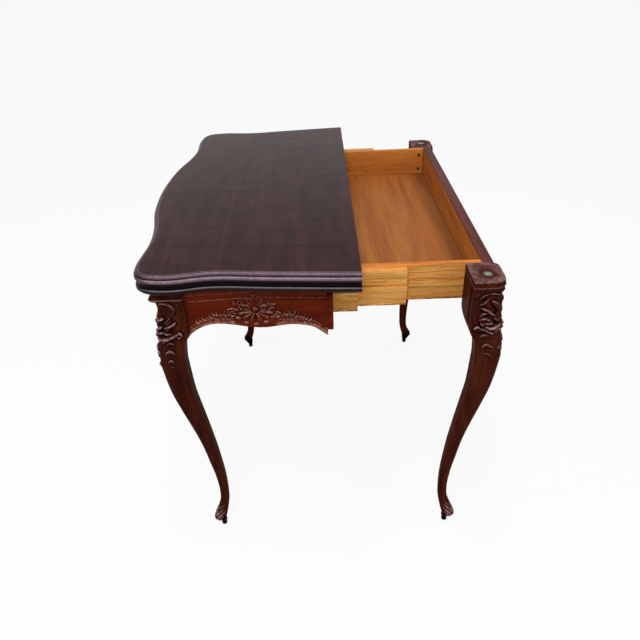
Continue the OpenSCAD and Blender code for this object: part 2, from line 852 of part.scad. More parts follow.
module rail_screws() {
    color("#8a8378") at_hinge() both_sides() for (y = rail_screw_ys)
        translate([fixed_x - fixed_t + fit_gap, y, rail_screw_z])
            rotate([0, 90, 0]) wood_screw(fixed_t + rail_screw_in - 2 * fit_gap);
}

// Slides

// Board on the right side with a groove in its inner face and a rib outside
module slide_board(outer_x, thick, y_low, y_high) {
    difference() {
        block([outer_x - thick, y_low, slide_bottom], [outer_x, y_high, slide_top]);
        block([outer_x - thick - cut, y_low - cut, rib_z - rib_slot_h / 2],
            [outer_x - thick + rib_slot, y_high + cut, rib_z + rib_slot_h / 2]);
    }
}
module rib(outer_x, y_low, y_high) {
    block([outer_x - cut, y_low, rib_z - rib_h / 2], [outer_x + rib_out, y_high, rib_z + rib_h / 2]);
}

module fixed_rail() {
    difference() {
        block([fixed_x - fixed_t, leg_front_in_y, slide_bottom], [fixed_x, shoulder_y, leg_h]);
        block([fixed_x - fixed_t - cut, leg_front_in_y - cut, rib_z - rib_slot_h / 2],
            [fixed_x - fixed_t + rib_slot, shoulder_y + cut, rib_z + rib_slot_h / 2]);
        for (y = rail_screw_ys) translate([fixed_x - fixed_t - cut, y, rail_screw_z])
            rotate([0, 90, 0]) {
                cylinder(d = hole_d, h = fixed_t + 2 * cut, $fn = 32);
                cylinder(d = screw_head_d + 2 * fit_gap, h = screw_head_h + 2 * fit_gap + cut,
                    $fn = 32);
            }
    }
}

module moving_slide(outer_x) {
    slide_board(outer_x, slide_t, slide_start_y, shoulder_y);
    rib(outer_x, slide_start_y, shoulder_y);
}

module right_fixed_rail() {
    color("#c98a45") at_hinge() fixed_rail();
}
module left_fixed_rail() {
    color("#c98a45") at_hinge() mirror([1, 0, 0]) fixed_rail();
}
module right_slide_1() {
    color("#cf9048") on_slide_1() moving_slide(slide_1_x);
}
module left_slide_1() {
    color("#cf9048") on_slide_1() mirror([1, 0, 0]) moving_slide(slide_1_x);
}
module right_slide_2() {
    color("#d59a52") on_slide_2() moving_slide(slide_2_x);
}
module left_slide_2() {
    color("#d59a52") on_slide_2() mirror([1, 0, 0]) moving_slide(slide_2_x);
}

// Pull-out frame

module box_side() {
    difference() {
        union() {
            block([box_in_x, box_start_y, slide_bottom], [box_x, rail_in_y, slide_top]);
            rib(box_x, slide_start_y, shoulder_y);
        }
        block([box_in_x - cut, box_start_y + box_front_t - floor_groove, floor_top - floor_t],
            [box_in_x + floor_groove, rail_in_y + cut, floor_top]);
        for (z = box_screw_zs) translate([box_in_x - cut, box_screw_y, z])
            rotate([0, 90, 0]) {
                cylinder(d = hole_d, h = box_side_t + 2 * cut, $fn = 32);
                cylinder(d = box_head_d, h = screw_head_h + 2 * fit_gap + cut, $fn = 32);
            }
    }
}
module right_box_side() {
    color("#c98a45") on_frame() box_side();
}
module left_box_side() {
    color("#c98a45") on_frame() mirror([1, 0, 0]) box_side();
}

module box_front() {
    color("#b87838") on_frame() difference() {
        block([-box_in_x, box_start_y, slide_bottom],
            [box_in_x, box_start_y + box_front_t, slide_top]);
        block([-box_in_x - cut, box_start_y + box_front_t - floor_groove, floor_top - floor_t],
            [box_in_x + cut, box_start_y + box_front_t + cut, floor_top]);
    }
}

module box_floor() {
    color("#9c6030") on_frame()
        block([-box_in_x - floor_groove + fit_gap,
            box_start_y + box_front_t - floor_groove + fit_gap, floor_top - floor_t + fit_gap],
            [box_in_x + floor_groove - fit_gap, rail_in_y - fit_gap, floor_top - fit_gap]);
}

module box_screws() {
    color("#6b6258") on_frame() both_sides() for (z = box_screw_zs)
        translate([box_in_x + fit_gap, box_screw_y, z])
            rotate([0, 90, 0]) wood_screw(box_side_t + box_screw_in - 2 * fit_gap);
}

module back_right_leg() {
    color("#3c1410") on_frame() back_leg();
}
module back_left_leg() {
    color("#3c1410") on_frame() mirror([1, 0, 0]) back_leg();
}
module back_feet() {
    color("#1c1010") on_frame() both_sides() at_back_corner() peg();
}

module back_rail() {
    color("#5a2418") on_frame() difference() {
        union() {
            translate([0, rail_in_y, 0])
                shaped_board(box_x, long_mid_drop, back_rail_t, slide_top);
            both_sides() rail_tenon(0);
        }
        block([-box_in_x, rail_in_y - cut, floor_top],
            [box_in_x, rail_in_y + lining_t, slide_top - lip_h]);
    }
}

module rail_lining() {
    color("#a8652c") on_frame()
        block([-box_in_x + fit_gap, rail_in_y, floor_top + fit_gap],
            [box_in_x - fit_gap, rail_in_y + lining_t, slide_top - lip_h - fit_gap]);
}

module rest_studs() {
    color("#b9b2a4") on_frame() both_sides() stud();
}
module stud_cups() {
    color("#5c5a44") on_frame() both_sides() cup();
}

// Hinges as nodes

module fixed_hinge_plates() {
    color("#b08d4a") at_hinge() for (x = hinge_xs) translate([x, 0, hinge_z]) hinge_half(-1);
}
module folding_hinge_plates() {
    color("#b08d4a") at_hinge() for (x = hinge_xs) translate([x, 0, hinge_z]) hinge_half(1);
}
module hinge_pins() {
    color("#8f8f8f") at_hinge() for (x = hinge_xs)
        translate([x - hinge_w / 2 + run_gap, 0, hinge_z])
            rotate([0, 90, 0]) cylinder(r = pin_r, h = hinge_w - 2 * run_gap, $fn = 32);
}
module fixed_hinge_screws() {
    color("#c9a35c") hinge_screws(-1);
}
module folding_hinge_screws() {
    color("#c9a35c") hinge_screws(1);
}

fixed_leaf();
folding_leaf();
fixed_baize();
folding_baize();
front_apron();
left_apron();
right_apron();
front_left_leg();
front_right_leg();
front_feet();
cross_rail();
left_fixed_rail();
right_fixed_rail();
glue_blocks();
leaf_screws();
rail_screws();
left_slide_1();
right_slide_1();
left_slide_2();
right_slide_2();
back_left_leg();
back_right_leg();
back_feet();
back_rail();
rail_lining();
left_box_side();
right_box_side();
box_front();
box_floor();
box_screws();
rest_studs();
stud_cups();
fixed_hinge_plates();
folding_hinge_plates();
hinge_pins();
fixed_hinge_screws();
folding_hinge_screws();
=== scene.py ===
"""A games table: a folding serpentine top on carved cabriole legs, with its frame
drawn partly out on oak slides. Sizes are in millimetres until a mesh is made, and
the legs' and aprons' places along Y run from the hinge line, with the frame closed."""
import math

import bmesh
import bpy
import numpy as np
from mathutils import Matrix, Vector


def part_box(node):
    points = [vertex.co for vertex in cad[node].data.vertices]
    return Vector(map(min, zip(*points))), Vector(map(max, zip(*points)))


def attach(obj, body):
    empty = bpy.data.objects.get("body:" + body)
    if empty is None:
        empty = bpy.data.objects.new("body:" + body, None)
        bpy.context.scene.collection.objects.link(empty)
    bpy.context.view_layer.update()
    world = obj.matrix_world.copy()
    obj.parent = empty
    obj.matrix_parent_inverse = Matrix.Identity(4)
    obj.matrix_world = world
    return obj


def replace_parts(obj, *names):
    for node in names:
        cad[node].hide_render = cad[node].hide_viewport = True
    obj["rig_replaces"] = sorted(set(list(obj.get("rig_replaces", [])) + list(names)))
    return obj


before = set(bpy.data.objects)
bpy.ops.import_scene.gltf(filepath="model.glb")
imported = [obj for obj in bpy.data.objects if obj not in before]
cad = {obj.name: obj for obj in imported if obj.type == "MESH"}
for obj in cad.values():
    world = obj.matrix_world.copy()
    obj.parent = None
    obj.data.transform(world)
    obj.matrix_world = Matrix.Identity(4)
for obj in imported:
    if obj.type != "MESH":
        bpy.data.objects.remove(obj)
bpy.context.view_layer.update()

MM = 0.001
X, Y, Z = 0, 1, 2

# The table's main sizes, and where its legs stand
HINGE_Y = 87.5
PULL = 266.0
LEAF_W, LEAF_D, LEAF_T = 920.0, 450.0, 21.0
LEG_H = 718.0
HINGE_Z = LEG_H + LEAF_T
LEAF_GAP = 0.15
LEG_X = 430.0
FRONT_Y = -390.0
BLOCK_Y = 61.0
SLIDE_TOP = 716.5


def put_in_scene(name, data):
    made = bpy.data.objects.new(name, data)
    bpy.context.scene.collection.objects.link(made)
    return made


# The camera stands where the photograph was taken

def place_camera():
    yaw, pitch, roll = 0.0452, 0.5679, -0.0571
    ahead = Vector((-math.cos(yaw) * math.cos(pitch), -math.sin(yaw) * math.cos(pitch),
                    -math.sin(pitch)))
    level = ahead.cross(Vector((0, 0, 1))).normalized()
    above = level.cross(ahead)
    right = math.cos(roll) * level + math.sin(roll) * above
    up = math.cos(roll) * above - math.sin(roll) * level
    data = bpy.data.cameras.new("camera")
    data.sensor_width = 36.0
    data.lens = 33.0
    data.shift_x = 0.0286
    data.shift_y = -0.0203
    camera = put_in_scene("camera", data)
    spot = Vector((1.3466, 0.0192, 1.2640))
    camera.matrix_world = Matrix([[right.x, up.x, -ahead.x, spot.x],
                                  [right.y, up.y, -ahead.y, spot.y],
                                  [right.z, up.z, -ahead.z, spot.z],
                                  [0, 0, 0, 1]])
    bpy.context.scene.camera = camera


place_camera()


# Colours and materials

# Sockets of the colour mix: the share, the colour under and over it, and the result
SHARE, UNDER, OVER, MIXED = 0, 6, 7, 2


def srgb(text):
    """Linear colour from a hex value such as 4b383a."""
    parts = [int(text[i:i + 2], 16) / 255 for i in (0, 2, 4)]
    return (*[c / 12.92 if c <= 0.04045 else ((c + 0.055) / 1.055) ** 2.4 for c in parts], 1.0)


def feed(tree, node, inputs):
    """Gives a node's inputs their values, hex colours or other nodes' outputs."""
    for socket, value in inputs.items():
        if isinstance(value, bpy.types.NodeSocket):
            tree.links.new(value, node.inputs[socket])
        else:
            node.inputs[socket].default_value = srgb(value) if isinstance(value, str) else value


def add(tree, kind, inputs, stops=(), output=0, **settings):
    """Adds a shader node with its settings and links, and returns one output of it. Stops
    are (place, hex colour or grey level)."""
    made = tree.nodes.new("ShaderNode" + kind)
    for name, value in settings.items():
        setattr(made, name, value)
    feed(tree, made, inputs)
    if stops:
        elements = made.color_ramp.elements
        while len(elements) < len(stops):
            elements.new(0.5)
        for element, (place, colour) in zip(elements, stops):
            element.position = place
            element.color = srgb(colour) if isinstance(colour, str) else (colour,) * 3 + (1.0,)
    return made.outputs[output]


def start_material(name):
    """New material, its node tree and its shader."""
    material = bpy.data.materials.new(name)
    material.use_nodes = True
    tree = material.node_tree
    return material, tree, tree.nodes["Principled BSDF"]


def grain(tree, size, detail, rough, twist=0.0):
    """Uneven streaks, drawn out along the grain: size is their length in x, y and z, in mm."""
    place = add(tree, "TexCoord", {}, output="Object")
    stretched = add(tree, "Mapping", {
        "Vector": place, "Scale": [1 / (MM * s) for s in size]})
    return add(tree, "TexNoise", {
        "Vector": stretched, "Scale": 1.0, "Detail": detail, "Roughness": rough,
        "Distortion": twist})


def along(axis, length, across):
    """Streak sizes for a grain that runs along an axis."""
    return [length if i == axis else across for i in range(3)]


def darkened(tree, colour, pattern, share, *stops):
    """Colour darkened by a pattern: stops are (place in the pattern, how light)."""
    shade = add(tree, "ValToRGB", {"Fac": pattern}, stops)
    return add(tree, "Mix", {SHARE: share, UNDER: colour, OVER: shade},
               output=MIXED, data_type="RGBA", blend_type="MULTIPLY")


def passage(tree, axis, start, end, first, last, ease="LINEAR"):
    """Value that goes from first to last between two places along an axis, in mm."""
    spot = add(tree, "SeparateXYZ", {
        "Vector": add(tree, "TexCoord", {}, output="Object")}, output=axis)
    return add(tree, "MapRange", {
        "Value": spot, "From Min": start * MM, "From Max": end * MM, "To Min": first,
        "To Max": last}, interpolation_type=ease)


# Mahogany under old French polish: dark reddish heartwood that seems smooth and a little
# smoky. Its pores are about 0.2 mm wide, and are drawn 0.55 mm wide so that they show.

def mahogany(name, axis, dark, middle, light, rough, gloss, waxed_and_lit=None, reflected_bands=0.0):
    """Broad figure, finer streaks and short dark pores. A tuple of a dark colour, a pale colour,
    most and least gives dark wax and painted shade where the mesh's mark is low, and painted
    highlights in patches where it is high, on ridges and nosings. The share of dark bars
    across the grain is painted reflection of a window blind's slats."""
    material, tree, shader = start_material(name)
    figure = grain(tree, along(axis, 300, 46), 4.0, 0.55, 1.6)
    streak = grain(tree, along(axis, 60, 2.2), 5.0, 0.6, 0.2)
    pores = grain(tree, along(axis, 9, 0.55), 2.0, 0.5)
    colour = add(tree, "ValToRGB", {"Fac": figure},
                 [(0.28, dark), (0.5, middle), (0.74, light)])
    colour = darkened(tree, colour, streak, 0.7, (0.3, 0.7), (0.62, 1.0))
    colour = darkened(tree, colour, pores, 0.55, (0.34, 0.45), (0.44, 1.0))
    # Painted reflection: dark bars across the grain, for a window blind's slats mirrored in the
    # polish
    if reflected_bands:
        reflected_bars = grain(tree, along(1 - axis, 240, 30), 3.0, 0.5, 1.2)
        colour = darkened(tree, colour, reflected_bars, reflected_bands, (0.34, 0.6), (0.5, 1.0))
    if waxed_and_lit:
        colour = show_light_and_wax(tree, colour, *waxed_and_lit)
    polish = grain(tree, (30, 30, 30), 3.0, 0.6)
    smears = add(tree, "MapRange", {
        "Value": polish, "To Min": rough - 0.06, "To Max": rough + 0.08})
    open_pores = add(tree, "Bump", {
        "Height": pores, "Strength": 0.25, "Distance": 0.2 * MM})
    feed(tree, shader, {"Base Color": colour, "Roughness": smears, "Normal": open_pores,
                        "Specular IOR Level": gloss, "IOR": 1.5})
    return material


def show_light_and_wax(tree, colour, wax_and_shade, painted_highlight, most, least):
    """Colour with dark wax and painted shade where the mesh's mark is low, and painted
    highlights in patches where it is high."""
    relief = add(tree, "Attribute", {}, output="Fac", attribute_name="relief")
    # Dark wax and painted shade where the mark is low
    wax_and_shade_share = add(tree, "ValToRGB", {"Fac": relief}, [(0.22, 1.0), (0.48, 0.0)])
    colour = add(tree, "Mix", {SHARE: wax_and_shade_share, UNDER: colour, OVER: wax_and_shade},
                 output=MIXED, data_type="RGBA")
    # Painted highlight where the mark is high, broken into patches
    patches = add(tree, "ValToRGB", {"Fac": grain(tree, (7, 7, 7), 3.0, 0.6)},
                  [(0.42, least), (0.56, 1.0)])
    proud = add(tree, "ValToRGB", {"Fac": relief}, [(0.54, 0.0), (1.0, most)])
    pale = add(tree, "Math", {0: proud, 1: patches}, operation="MULTIPLY")
    return add(tree, "Mix", {SHARE: pale, UNDER: colour, OVER: painted_highlight},
               output=MIXED, data_type="RGBA")


# Oak left bare: golden, matt and coarse, with open grain, and darker torn lines where the
# saw left it rough. Its pores are about 0.3 mm wide, and are drawn 0.7 mm wide to show.

def oak(name, axis, dark, middle, light, saw_axis=None, bands=46, joints=(), chipped=None):
    """Saw_axis is set for a sawn board, and bands is the width of its figure in mm. Each darker
    band is (axis, place, width, darkest): the colour grows darker towards that place, over
    that width. Chipped is the height of a lower edge that has splintered."""
    material, tree, shader = start_material(name)
    figure = grain(tree, along(axis, 600, bands), 4.0, 0.55, 1.2)
    streak = grain(tree, along(axis, 90, 2.6), 5.0, 0.65, 0.3)
    pores = grain(tree, along(axis, 12, 0.7), 2.0, 0.5)
    colour = add(tree, "ValToRGB", {"Fac": figure},
                 [(0.26, dark), (0.5, middle), (0.72, light)])
    colour = darkened(tree, colour, streak, 0.6, (0.32, 0.58), (0.6, 1.0))
    colour = darkened(tree, colour, pores, 0.5, (0.34, 0.4), (0.46, 1.0))
    rough_part = streak
    if saw_axis is not None:
        rough_part = grain(tree, along(saw_axis, 110, 3.8), 4.0, 0.65, 0.6)
        colour = darkened(tree, colour, rough_part, 0.8, (0.37, 0.45), (0.49, 1.0))
        # Painted shade on the faces of sawn boards that look up
        colour = shade_upward_faces(tree, colour)
    # Colour darker towards given places; on the box floor the broad band is the back rail's
    # painted shadow
    for along_axis, place, width, darkest in joints:
        darker_band = passage(tree, along_axis, place, place + width, darkest, 1.0, "SMOOTHSTEP")
        colour = add(tree, "Mix", {SHARE: 1.0, UNDER: colour, OVER: darker_band},
                     output=MIXED, data_type="RGBA", blend_type="MULTIPLY")
    if chipped is not None:
        colour = chip(tree, colour, chipped)
    torn = add(tree, "Bump", {
        "Height": rough_part, "Strength": 0.5, "Distance": 0.6 * MM})
    feed(tree, shader, {"Base Color": colour, "Roughness": 0.62, "Normal": torn,
                        "Specular IOR Level": 0.25, "IOR": 1.5})
    return material


def shade_upward_faces(tree, colour):
    """Painted shade on faces that look up: warmer and darker on the boards' tops, and darker
    still in their grooves.
    """
    normal = add(tree, "NewGeometry", {}, output="Normal")
    facing = add(tree, "SeparateXYZ", {"Vector": normal}, output=Z)
    at_top = passage(tree, Z, SLIDE_TOP - 12, SLIDE_TOP - 8, 0.0, 1.0)
    tint = add(tree, "Mix", {SHARE: at_top, UNDER: "d4c4b8", OVER: "ffe0c4"},
               output=MIXED, data_type="RGBA")
    tinted = add(tree, "Mix", {SHARE: 1.0, UNDER: colour, OVER: tint},
                 output=MIXED, data_type="RGBA", blend_type="MULTIPLY")
    upward = add(tree, "ValToRGB", {"Fac": facing}, [(0.4, 0.0), (0.9, 1.0)])
    return add(tree, "Mix", {SHARE: upward, UNDER: colour, OVER: tinted},
               output=MIXED, data_type="RGBA")


def chip(tree, colour, low):
    """Colour with brown splinters and chips along a board's lower edge, low in mm."""
    near = passage(tree, Z, low, low + 9, 1.0, 0.0)
    torn = add(tree, "ValToRGB", {"Fac": grain(tree, (8, 16, 5), 4.0, 0.7)},
               [(0.45, 0.0), (0.54, 1.0)])
    chips = add(tree, "Math", {0: near, 1: torn}, operation="MULTIPLY")
    return add(tree, "Mix", {SHARE: chips, UNDER: colour, OVER: "6e3208"},
               output=MIXED, data_type="RGBA")


# Baize, a fulled wool cloth: matt and even, with a soft nap. Its fibres are far too fine
# to see, so the nap is drawn in tufts of 0.9 mm.

def baize():
    material, tree, shader = start_material("green_wool_baize")
    nap = grain(tree, (0.9, 0.9, 0.9), 3.0, 0.6)
    patch = grain(tree, (90, 90, 90), 3.0, 0.5)
    colour = add(tree, "ValToRGB", {"Fac": patch},
                 [(0.35, "2b5c3d"), (0.65, "306845")])
    colour = darkened(tree, colour, nap, 0.6, (0.3, 0.6), (0.7, 1.0))
    tufts = add(tree, "Bump", {"Height": nap, "Strength": 0.6, "Distance": 0.4 * MM})
    feed(tree, shader, {"Base Color": colour, "Roughness": 0.95, "Normal": tufts,
                        "Specular IOR Level": 0.1, "Sheen Weight": 0.35,
                        "Sheen Roughness": 0.5})
    return material


# Old metals: bright where they are touched, and hazy and dull where they have tarnished

def metal(name, bright, dull, rough, spots):
    """Spots is the size of the tarnished spots, in mm."""
    material, tree, shader = start_material(name)
    tarnish = grain(tree, (spots, spots, spots), 4.0, 0.65)
    colour = add(tree, "ValToRGB", {"Fac": tarnish}, [(0.38, dull), (0.62, bright)])
    hazy = add(tree, "MapRange", {
        "Value": tarnish, "To Min": rough + 0.18, "To Max": rough})
    feed(tree, shader, {"Base Color": colour, "Roughness": hazy, "Metallic": 1.0})
    return material


def corners(node):
    """Lowest and highest corners of a CAD node, in mm."""
    return [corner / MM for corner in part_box(node)]


# The top: almost black, smoky and satin, with painted highlights and shade on its moulded
# edge, and dark bars across the grain as painted reflection of a window blind's slats
TOP = mahogany("polished_mahogany_top", X, "281416", "331b1c", "402222", rough=0.3, gloss=0.05,
               waxed_and_lit=("17060a", "94808f", 0.95, 0.75), reflected_bands=0.8)

# The leaf below it: the same wood, its edge in deeper painted shade under the top's edge, with
# a dimmer, greyer painted highlight
LOWER_LEAF_SHADED = mahogany("polished_mahogany_lower_leaf", X, "281416", "331b1c", "402222",
                      rough=0.3, gloss=0.05, waxed_and_lit=("0e0608", "828088", 0.95, 0.75))

# Carved legs: deep red brown, black with wax and painted shade in the hollows, and with
# painted highlights on the crests
LEGS = mahogany("carved_mahogany_legs", Z, "31120c", "471d13", "5c2a1b", rough=0.4,
                gloss=0.003, waxed_and_lit=("0a0302", "ac8a8e", 0.8, 0.35))

# Carved aprons: redder and livelier than the legs, with painted highlights on their thin lines
APRONS, FRONT_APRON = [
    mahogany("carved_mahogany_" + part, axis, "4c1305", "682009", "84300e", rough=0.34,
             gloss=0.03, waxed_and_lit=("150402", "b17d70", 0.95, 0.35))
    for part, axis in (("aprons", Y), ("front_apron", X))]

# Rail between the back legs: plain dull mahogany without wax
BACK_RAIL = mahogany("mahogany_back_rail", X, "3a120c", "52201a", "672b20", rough=0.4,
                     gloss=0.08)

# Turned pegs under the feet: ebonised, and nearly black
PEGS = mahogany("dark_turned_pegs", Z, "0c0504", "140808", "1c0b0a", rough=0.5, gloss=0.01)

# Slides: pale golden oak, left as the saw cut it, with splintered lower edges
SLIDES_1, SLIDES_2 = [
    oak("sawn_oak_" + node, Y, "c98636", "eeaa50", "fcc474", saw_axis=Y,
        chipped=corners("right_" + node)[0].z) for node in ("slide_1", "slide_2")]

# Box sides: the left one shows its planed inner face in darker, browner colours as painted
# shade, the right one its sawn outer face in paler colours as it is lit. Both are darker where
# they meet the back rail.
SIDE_LOW_CORNER, SIDE_HIGH_CORNER = corners("right_box_side")
SIDE_ENDS = [(Y, SIDE_HIGH_CORNER.y, -5, 0.3)]
LEFT_SIDE_SHADED = oak("planed_oak_box_side_shaded", Y, "b06424", "c87a30", "da8e3e", joints=SIDE_ENDS)
RIGHT_SIDE_LIT = oak("sawn_oak_box_side_lit", Y, "bc7430", "e09642", "f0ae58", saw_axis=Y,
                 joints=SIDE_ENDS, chipped=SIDE_LOW_CORNER.z)

# Box floor: planed oak with a broad figure, with the back rail's painted shadow across its
# back, and darker along its sides
FLOOR_LOW, FLOOR_HIGH = corners("box_floor")
BOX_FLOOR = oak("oak_box_floor", X, "8c4c18", "a65f24", "b97030", bands=60,
                joints=[(Y, FLOOR_HIGH.y, -58, 0.5), (X, FLOOR_LOW.x, 16, 0.45),
                        (X, FLOOR_HIGH.x, -8, 0.7)])

# Lining of the back rail and the box's front: planed oak, warm and clean
LINING = oak("oak_rail_lining", X, "964f18", "b46824", "ca8036")

# Rails and blocks inside the carcase: dull sawn oak that sees no light
RAILS = oak("oak_hidden_rails", X, "8c6234", "a8783f", "bd8d50", saw_axis=X)

BAIZE = baize()

# Cast brass hinges: yellow where they rub, and brown with tarnish elsewhere
BRASS = metal("tarnished_brass_hinges", "c9a35c", "7d5f2c", rough=0.28, spots=6.0)

# Turned steel of the rest studs and hinge pins: grey, with a worn shine
STEEL = metal("worn_steel_studs", "a8a296", "5c574e", rough=0.25, spots=3.0)

# Cups round the studs: blackened metal, slightly green
CUPS = metal("dull_stud_cups", "3c3f34", "1e211a", rough=0.35, spots=3.0)

# Screws: old steel, brown with rust
SCREWS = metal("rusted_steel_screws", "9a7640", "5a3c18", rough=0.45, spots=3.0)


# Making meshes

# The mark of plain wood for painted light and wax. Where it is higher the wood gets a
# painted highlight, and where it is lower it is dark with wax and painted shade.
PLAIN = 0.5


def piece(name, points, faces, material, body, slot, *replaced, crease=35, **marks):
    """A piece from points in mm, closed, with its faces turned outward."""
    mesh = bpy.data.meshes.new(name)
    mesh.from_pydata((np.asarray(points) * MM).tolist(), [], faces)
    for mark, values in marks.items():
        layer = mesh.attributes.new(mark, "FLOAT", "POINT")
        layer.data.foreach_set("value", np.asarray(values, np.float32).ravel())
    made = put_in_scene(name, mesh)
    turn_outward(mesh)
    mesh.polygons.foreach_set("use_smooth", [True] * len(mesh.polygons))
    mesh.set_sharp_from_angle(angle=math.radians(crease))
    mesh.materials.append(material)
    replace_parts(made, *replaced)
    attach(made, body)
    return made


def turn_outward(mesh):
    """Turns every face of a closed mesh outward."""
    work = bmesh.new()
    work.from_mesh(mesh)
    bmesh.ops.recalc_face_normals(work, faces=work.faces)
    work.to_mesh(mesh)
    work.free()


def left_twin(right, name, body, node):
    """Mirrored copy of a right-hand piece, for the left."""
    left = right.copy()
    left.data = right.data.copy()
    left.name = left.data.name = name
    bpy.context.scene.collection.objects.link(left)
    work = bmesh.new()
    work.from_mesh(left.data)
    for v in work.verts:
        v.co.x = -v.co.x
    bmesh.ops.reverse_faces(work, faces=work.faces)
    work.to_mesh(left.data)
    work.free()
    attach(left, body)
    left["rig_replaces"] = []
    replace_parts(left, node)


def net(rows, columns, closed=False, start=0):
    """Faces between neighbouring points of rows that each have that many columns."""
    last = columns if closed else columns - 1
    return [(start + i * columns + j, start + i * columns + (j + 1) % columns,
             start + (i + 1) * columns + (j + 1) % columns, start + (i + 1) * columns + j)
            for i in range(rows - 1) for j in range(last)]


def ends(rows, columns):
    """Faces that close a net at its first and its last row."""
    return [tuple(range(columns)), tuple(range((rows - 1) * columns, rows * columns))]


def border(rows, columns):
    """Numbers of a net's points all round its border, in order."""
    return (list(range(columns)) + [i * columns + columns - 1 for i in range(1, rows)]
            + [rows * columns - 1 - j for j in range(1, columns)]
            + [i * columns for i in range(rows - 2, 0, -1)])


def smooth_line(points, steps):
    """Smooth line through points, of which the first and the last only steer its ends."""
    p = np.array(points, float)
    t = np.arange(steps)[:, None] / steps
    parts = [0.5 * (2 * b + (c - a) * t + (2 * a - 5 * b + 4 * c - d) * t ** 2
                    + (3 * b - a - 3 * c + d) * t ** 3)
             for a, b, c, d in zip(p, p[1:], p[2:], p[3:])]
    return np.vstack(parts + [p[-2:-1]])


def at(z, places, values):
    """Smooth value at z, through values at places."""
    places, values = np.array(places, float), np.array(values, float)
    slope = np.gradient(values, places)
    i = np.clip(np.searchsorted(places, z) - 1, 0, len(places) - 2)
    wide = places[i + 1] - places[i]
    t = np.clip((z - places[i]) / wide, 0, 1)
    return (values[i] * (1 + 2 * t) * (1 - t) ** 2 + values[i + 1] * t ** 2 * (3 - 2 * t)
            + wide * slope[i] * t * (1 - t) ** 2 - wide * slope[i + 1] * t ** 2 * (1 - t))


def rising(value, start, reach):
    """0 before start, and then evenly up to 1 over reach."""
    return np.clip((value - start) / reach, 0, 1)


def falling(value, end, reach):
    """1 at first, and then over reach evenly down to 0 at end."""
    return np.clip((end - value) / reach, 0, 1)


def ridge(away, half):
    """Section of a rounded ridge: 1 in its middle, and 0 from half its width outward."""
    return np.sqrt(np.clip(1 - (away / half) ** 2, 0, 1))


def cut_out(made, cutter):
    """Cuts one closed piece out of another and throws the cutter away. The new faces have
    the same material, and the plain mark, without painted highlight, painted shade or wax."""
    wood = made.data.materials[0]
    modifier = made.modifiers.new("cut", "BOOLEAN")
    modifier.operation = "DIFFERENCE"
    modifier.object = cutter
    modifier.solver = "EXACT"
    bpy.context.view_layer.update()
    whole = made.evaluated_get(bpy.context.evaluated_depsgraph_get())
    mesh = bpy.data.meshes.new_from_object(whole)
    made.modifiers.clear()
    old, made.data = made.data, mesh
    bpy.data.meshes.remove(old)
    bpy.data.objects.remove(cutter)
    layer = mesh.attributes["relief"]
    marks = np.zeros(len(mesh.vertices), np.float32)
    layer.data.foreach_get("value", marks)
    layer.data.foreach_set("value", np.where(marks == 0, PLAIN, marks))
    mesh.materials.clear()
    mesh.materials.append(wood)


def cutter_mesh(name, work):
    """Cutter from a bmesh, which is freed."""
    mesh = bpy.data.meshes.new(name)
    work.to_mesh(mesh)
    work.free()
    return put_in_scene(name, mesh)


def cutter_of(name, *blocks, rounds=()):
    """Cutter of blocks (low, high) and rounds (centre, radius, length, axis), in mm."""
    work = bmesh.new()
    for low, high in blocks:
        for v in bmesh.ops.create_cube(work, size=1.0)["verts"]:
            for k in (X, Y, Z):
                v.co[k] = (low[k] if v.co[k] < 0 else high[k]) * MM
    for centre, radius, length, axis in rounds:
        made = bmesh.ops.create_cone(work, cap_ends=True, segments=48, radius1=radius * MM,
                                     radius2=radius * MM, depth=length * MM)["verts"]
        turned = Vector((0, 0, 1)).rotation_difference(
            Vector([1.0 if k == axis else 0.0 for k in (X, Y, Z)])).to_matrix()
        for v in made:
            v.co = turned @ v.co + Vector(centre) * MM
    return cutter_mesh(name, work)


# The two leaves of the top

# Right half of a leaf's edge, from the middle of the front round to the hinge
EDGE = smooth_line(
    [[-120, 8 - LEAF_D], [0, -LEAF_D], [120, 8 - LEAF_D], [220, 28 - LEAF_D],
     [293, 35 - LEAF_D], [LEAF_W / 2 - 75, 30.5 - LEAF_D], [LEAF_W / 2 - 26, 46 - LEAF_D],
     [LEAF_W / 2 - 11.5, 100 - LEAF_D], [LEAF_W / 2 - 21.5, 185 - LEAF_D],
     [LEAF_W / 2 - 12, 290 - LEAF_D], [LEAF_W / 2, 0], [LEAF_W / 2, 96]], 16)

# Moulding of a leaf's edge: how far in, and how far from the show face
STEP_IN, OVOLO_IN, QUIRK_IN, RECESS_IN = 10.5, 3.6, 2.7, 4.6
NOSING_TOP, NOSING_LOW = 7.0, 14.7

# Room in the leaves for the hinges' plates and knuckles
HINGES_X = (-330, 0, 330)
PLATE_HALF, PLATE_DEEP, PLATE_T = 31.1, 24.1, 2.15
KNUCKLE_R, KNUCKLE_LONG = 3.3, 62.2
CUT_PAST = 3.0


def edge_inward():
    """Direction into the leaf at each point of its right edge."""
    ahead = np.roll(EDGE, -1, 0)
    behind = np.roll(EDGE, 1, 0)
    behind[0] = EDGE[1] * [-1, 1]
    ahead[-1] = EDGE[-1] + [0, 1]
    behind[-1] = EDGE[-1]
    run = (ahead - behind) / np.linalg.norm(ahead - behind, axis=1)[:, None]
    return np.column_stack([-run[:, 1], run[:, 0]])


INWARD = edge_inward()


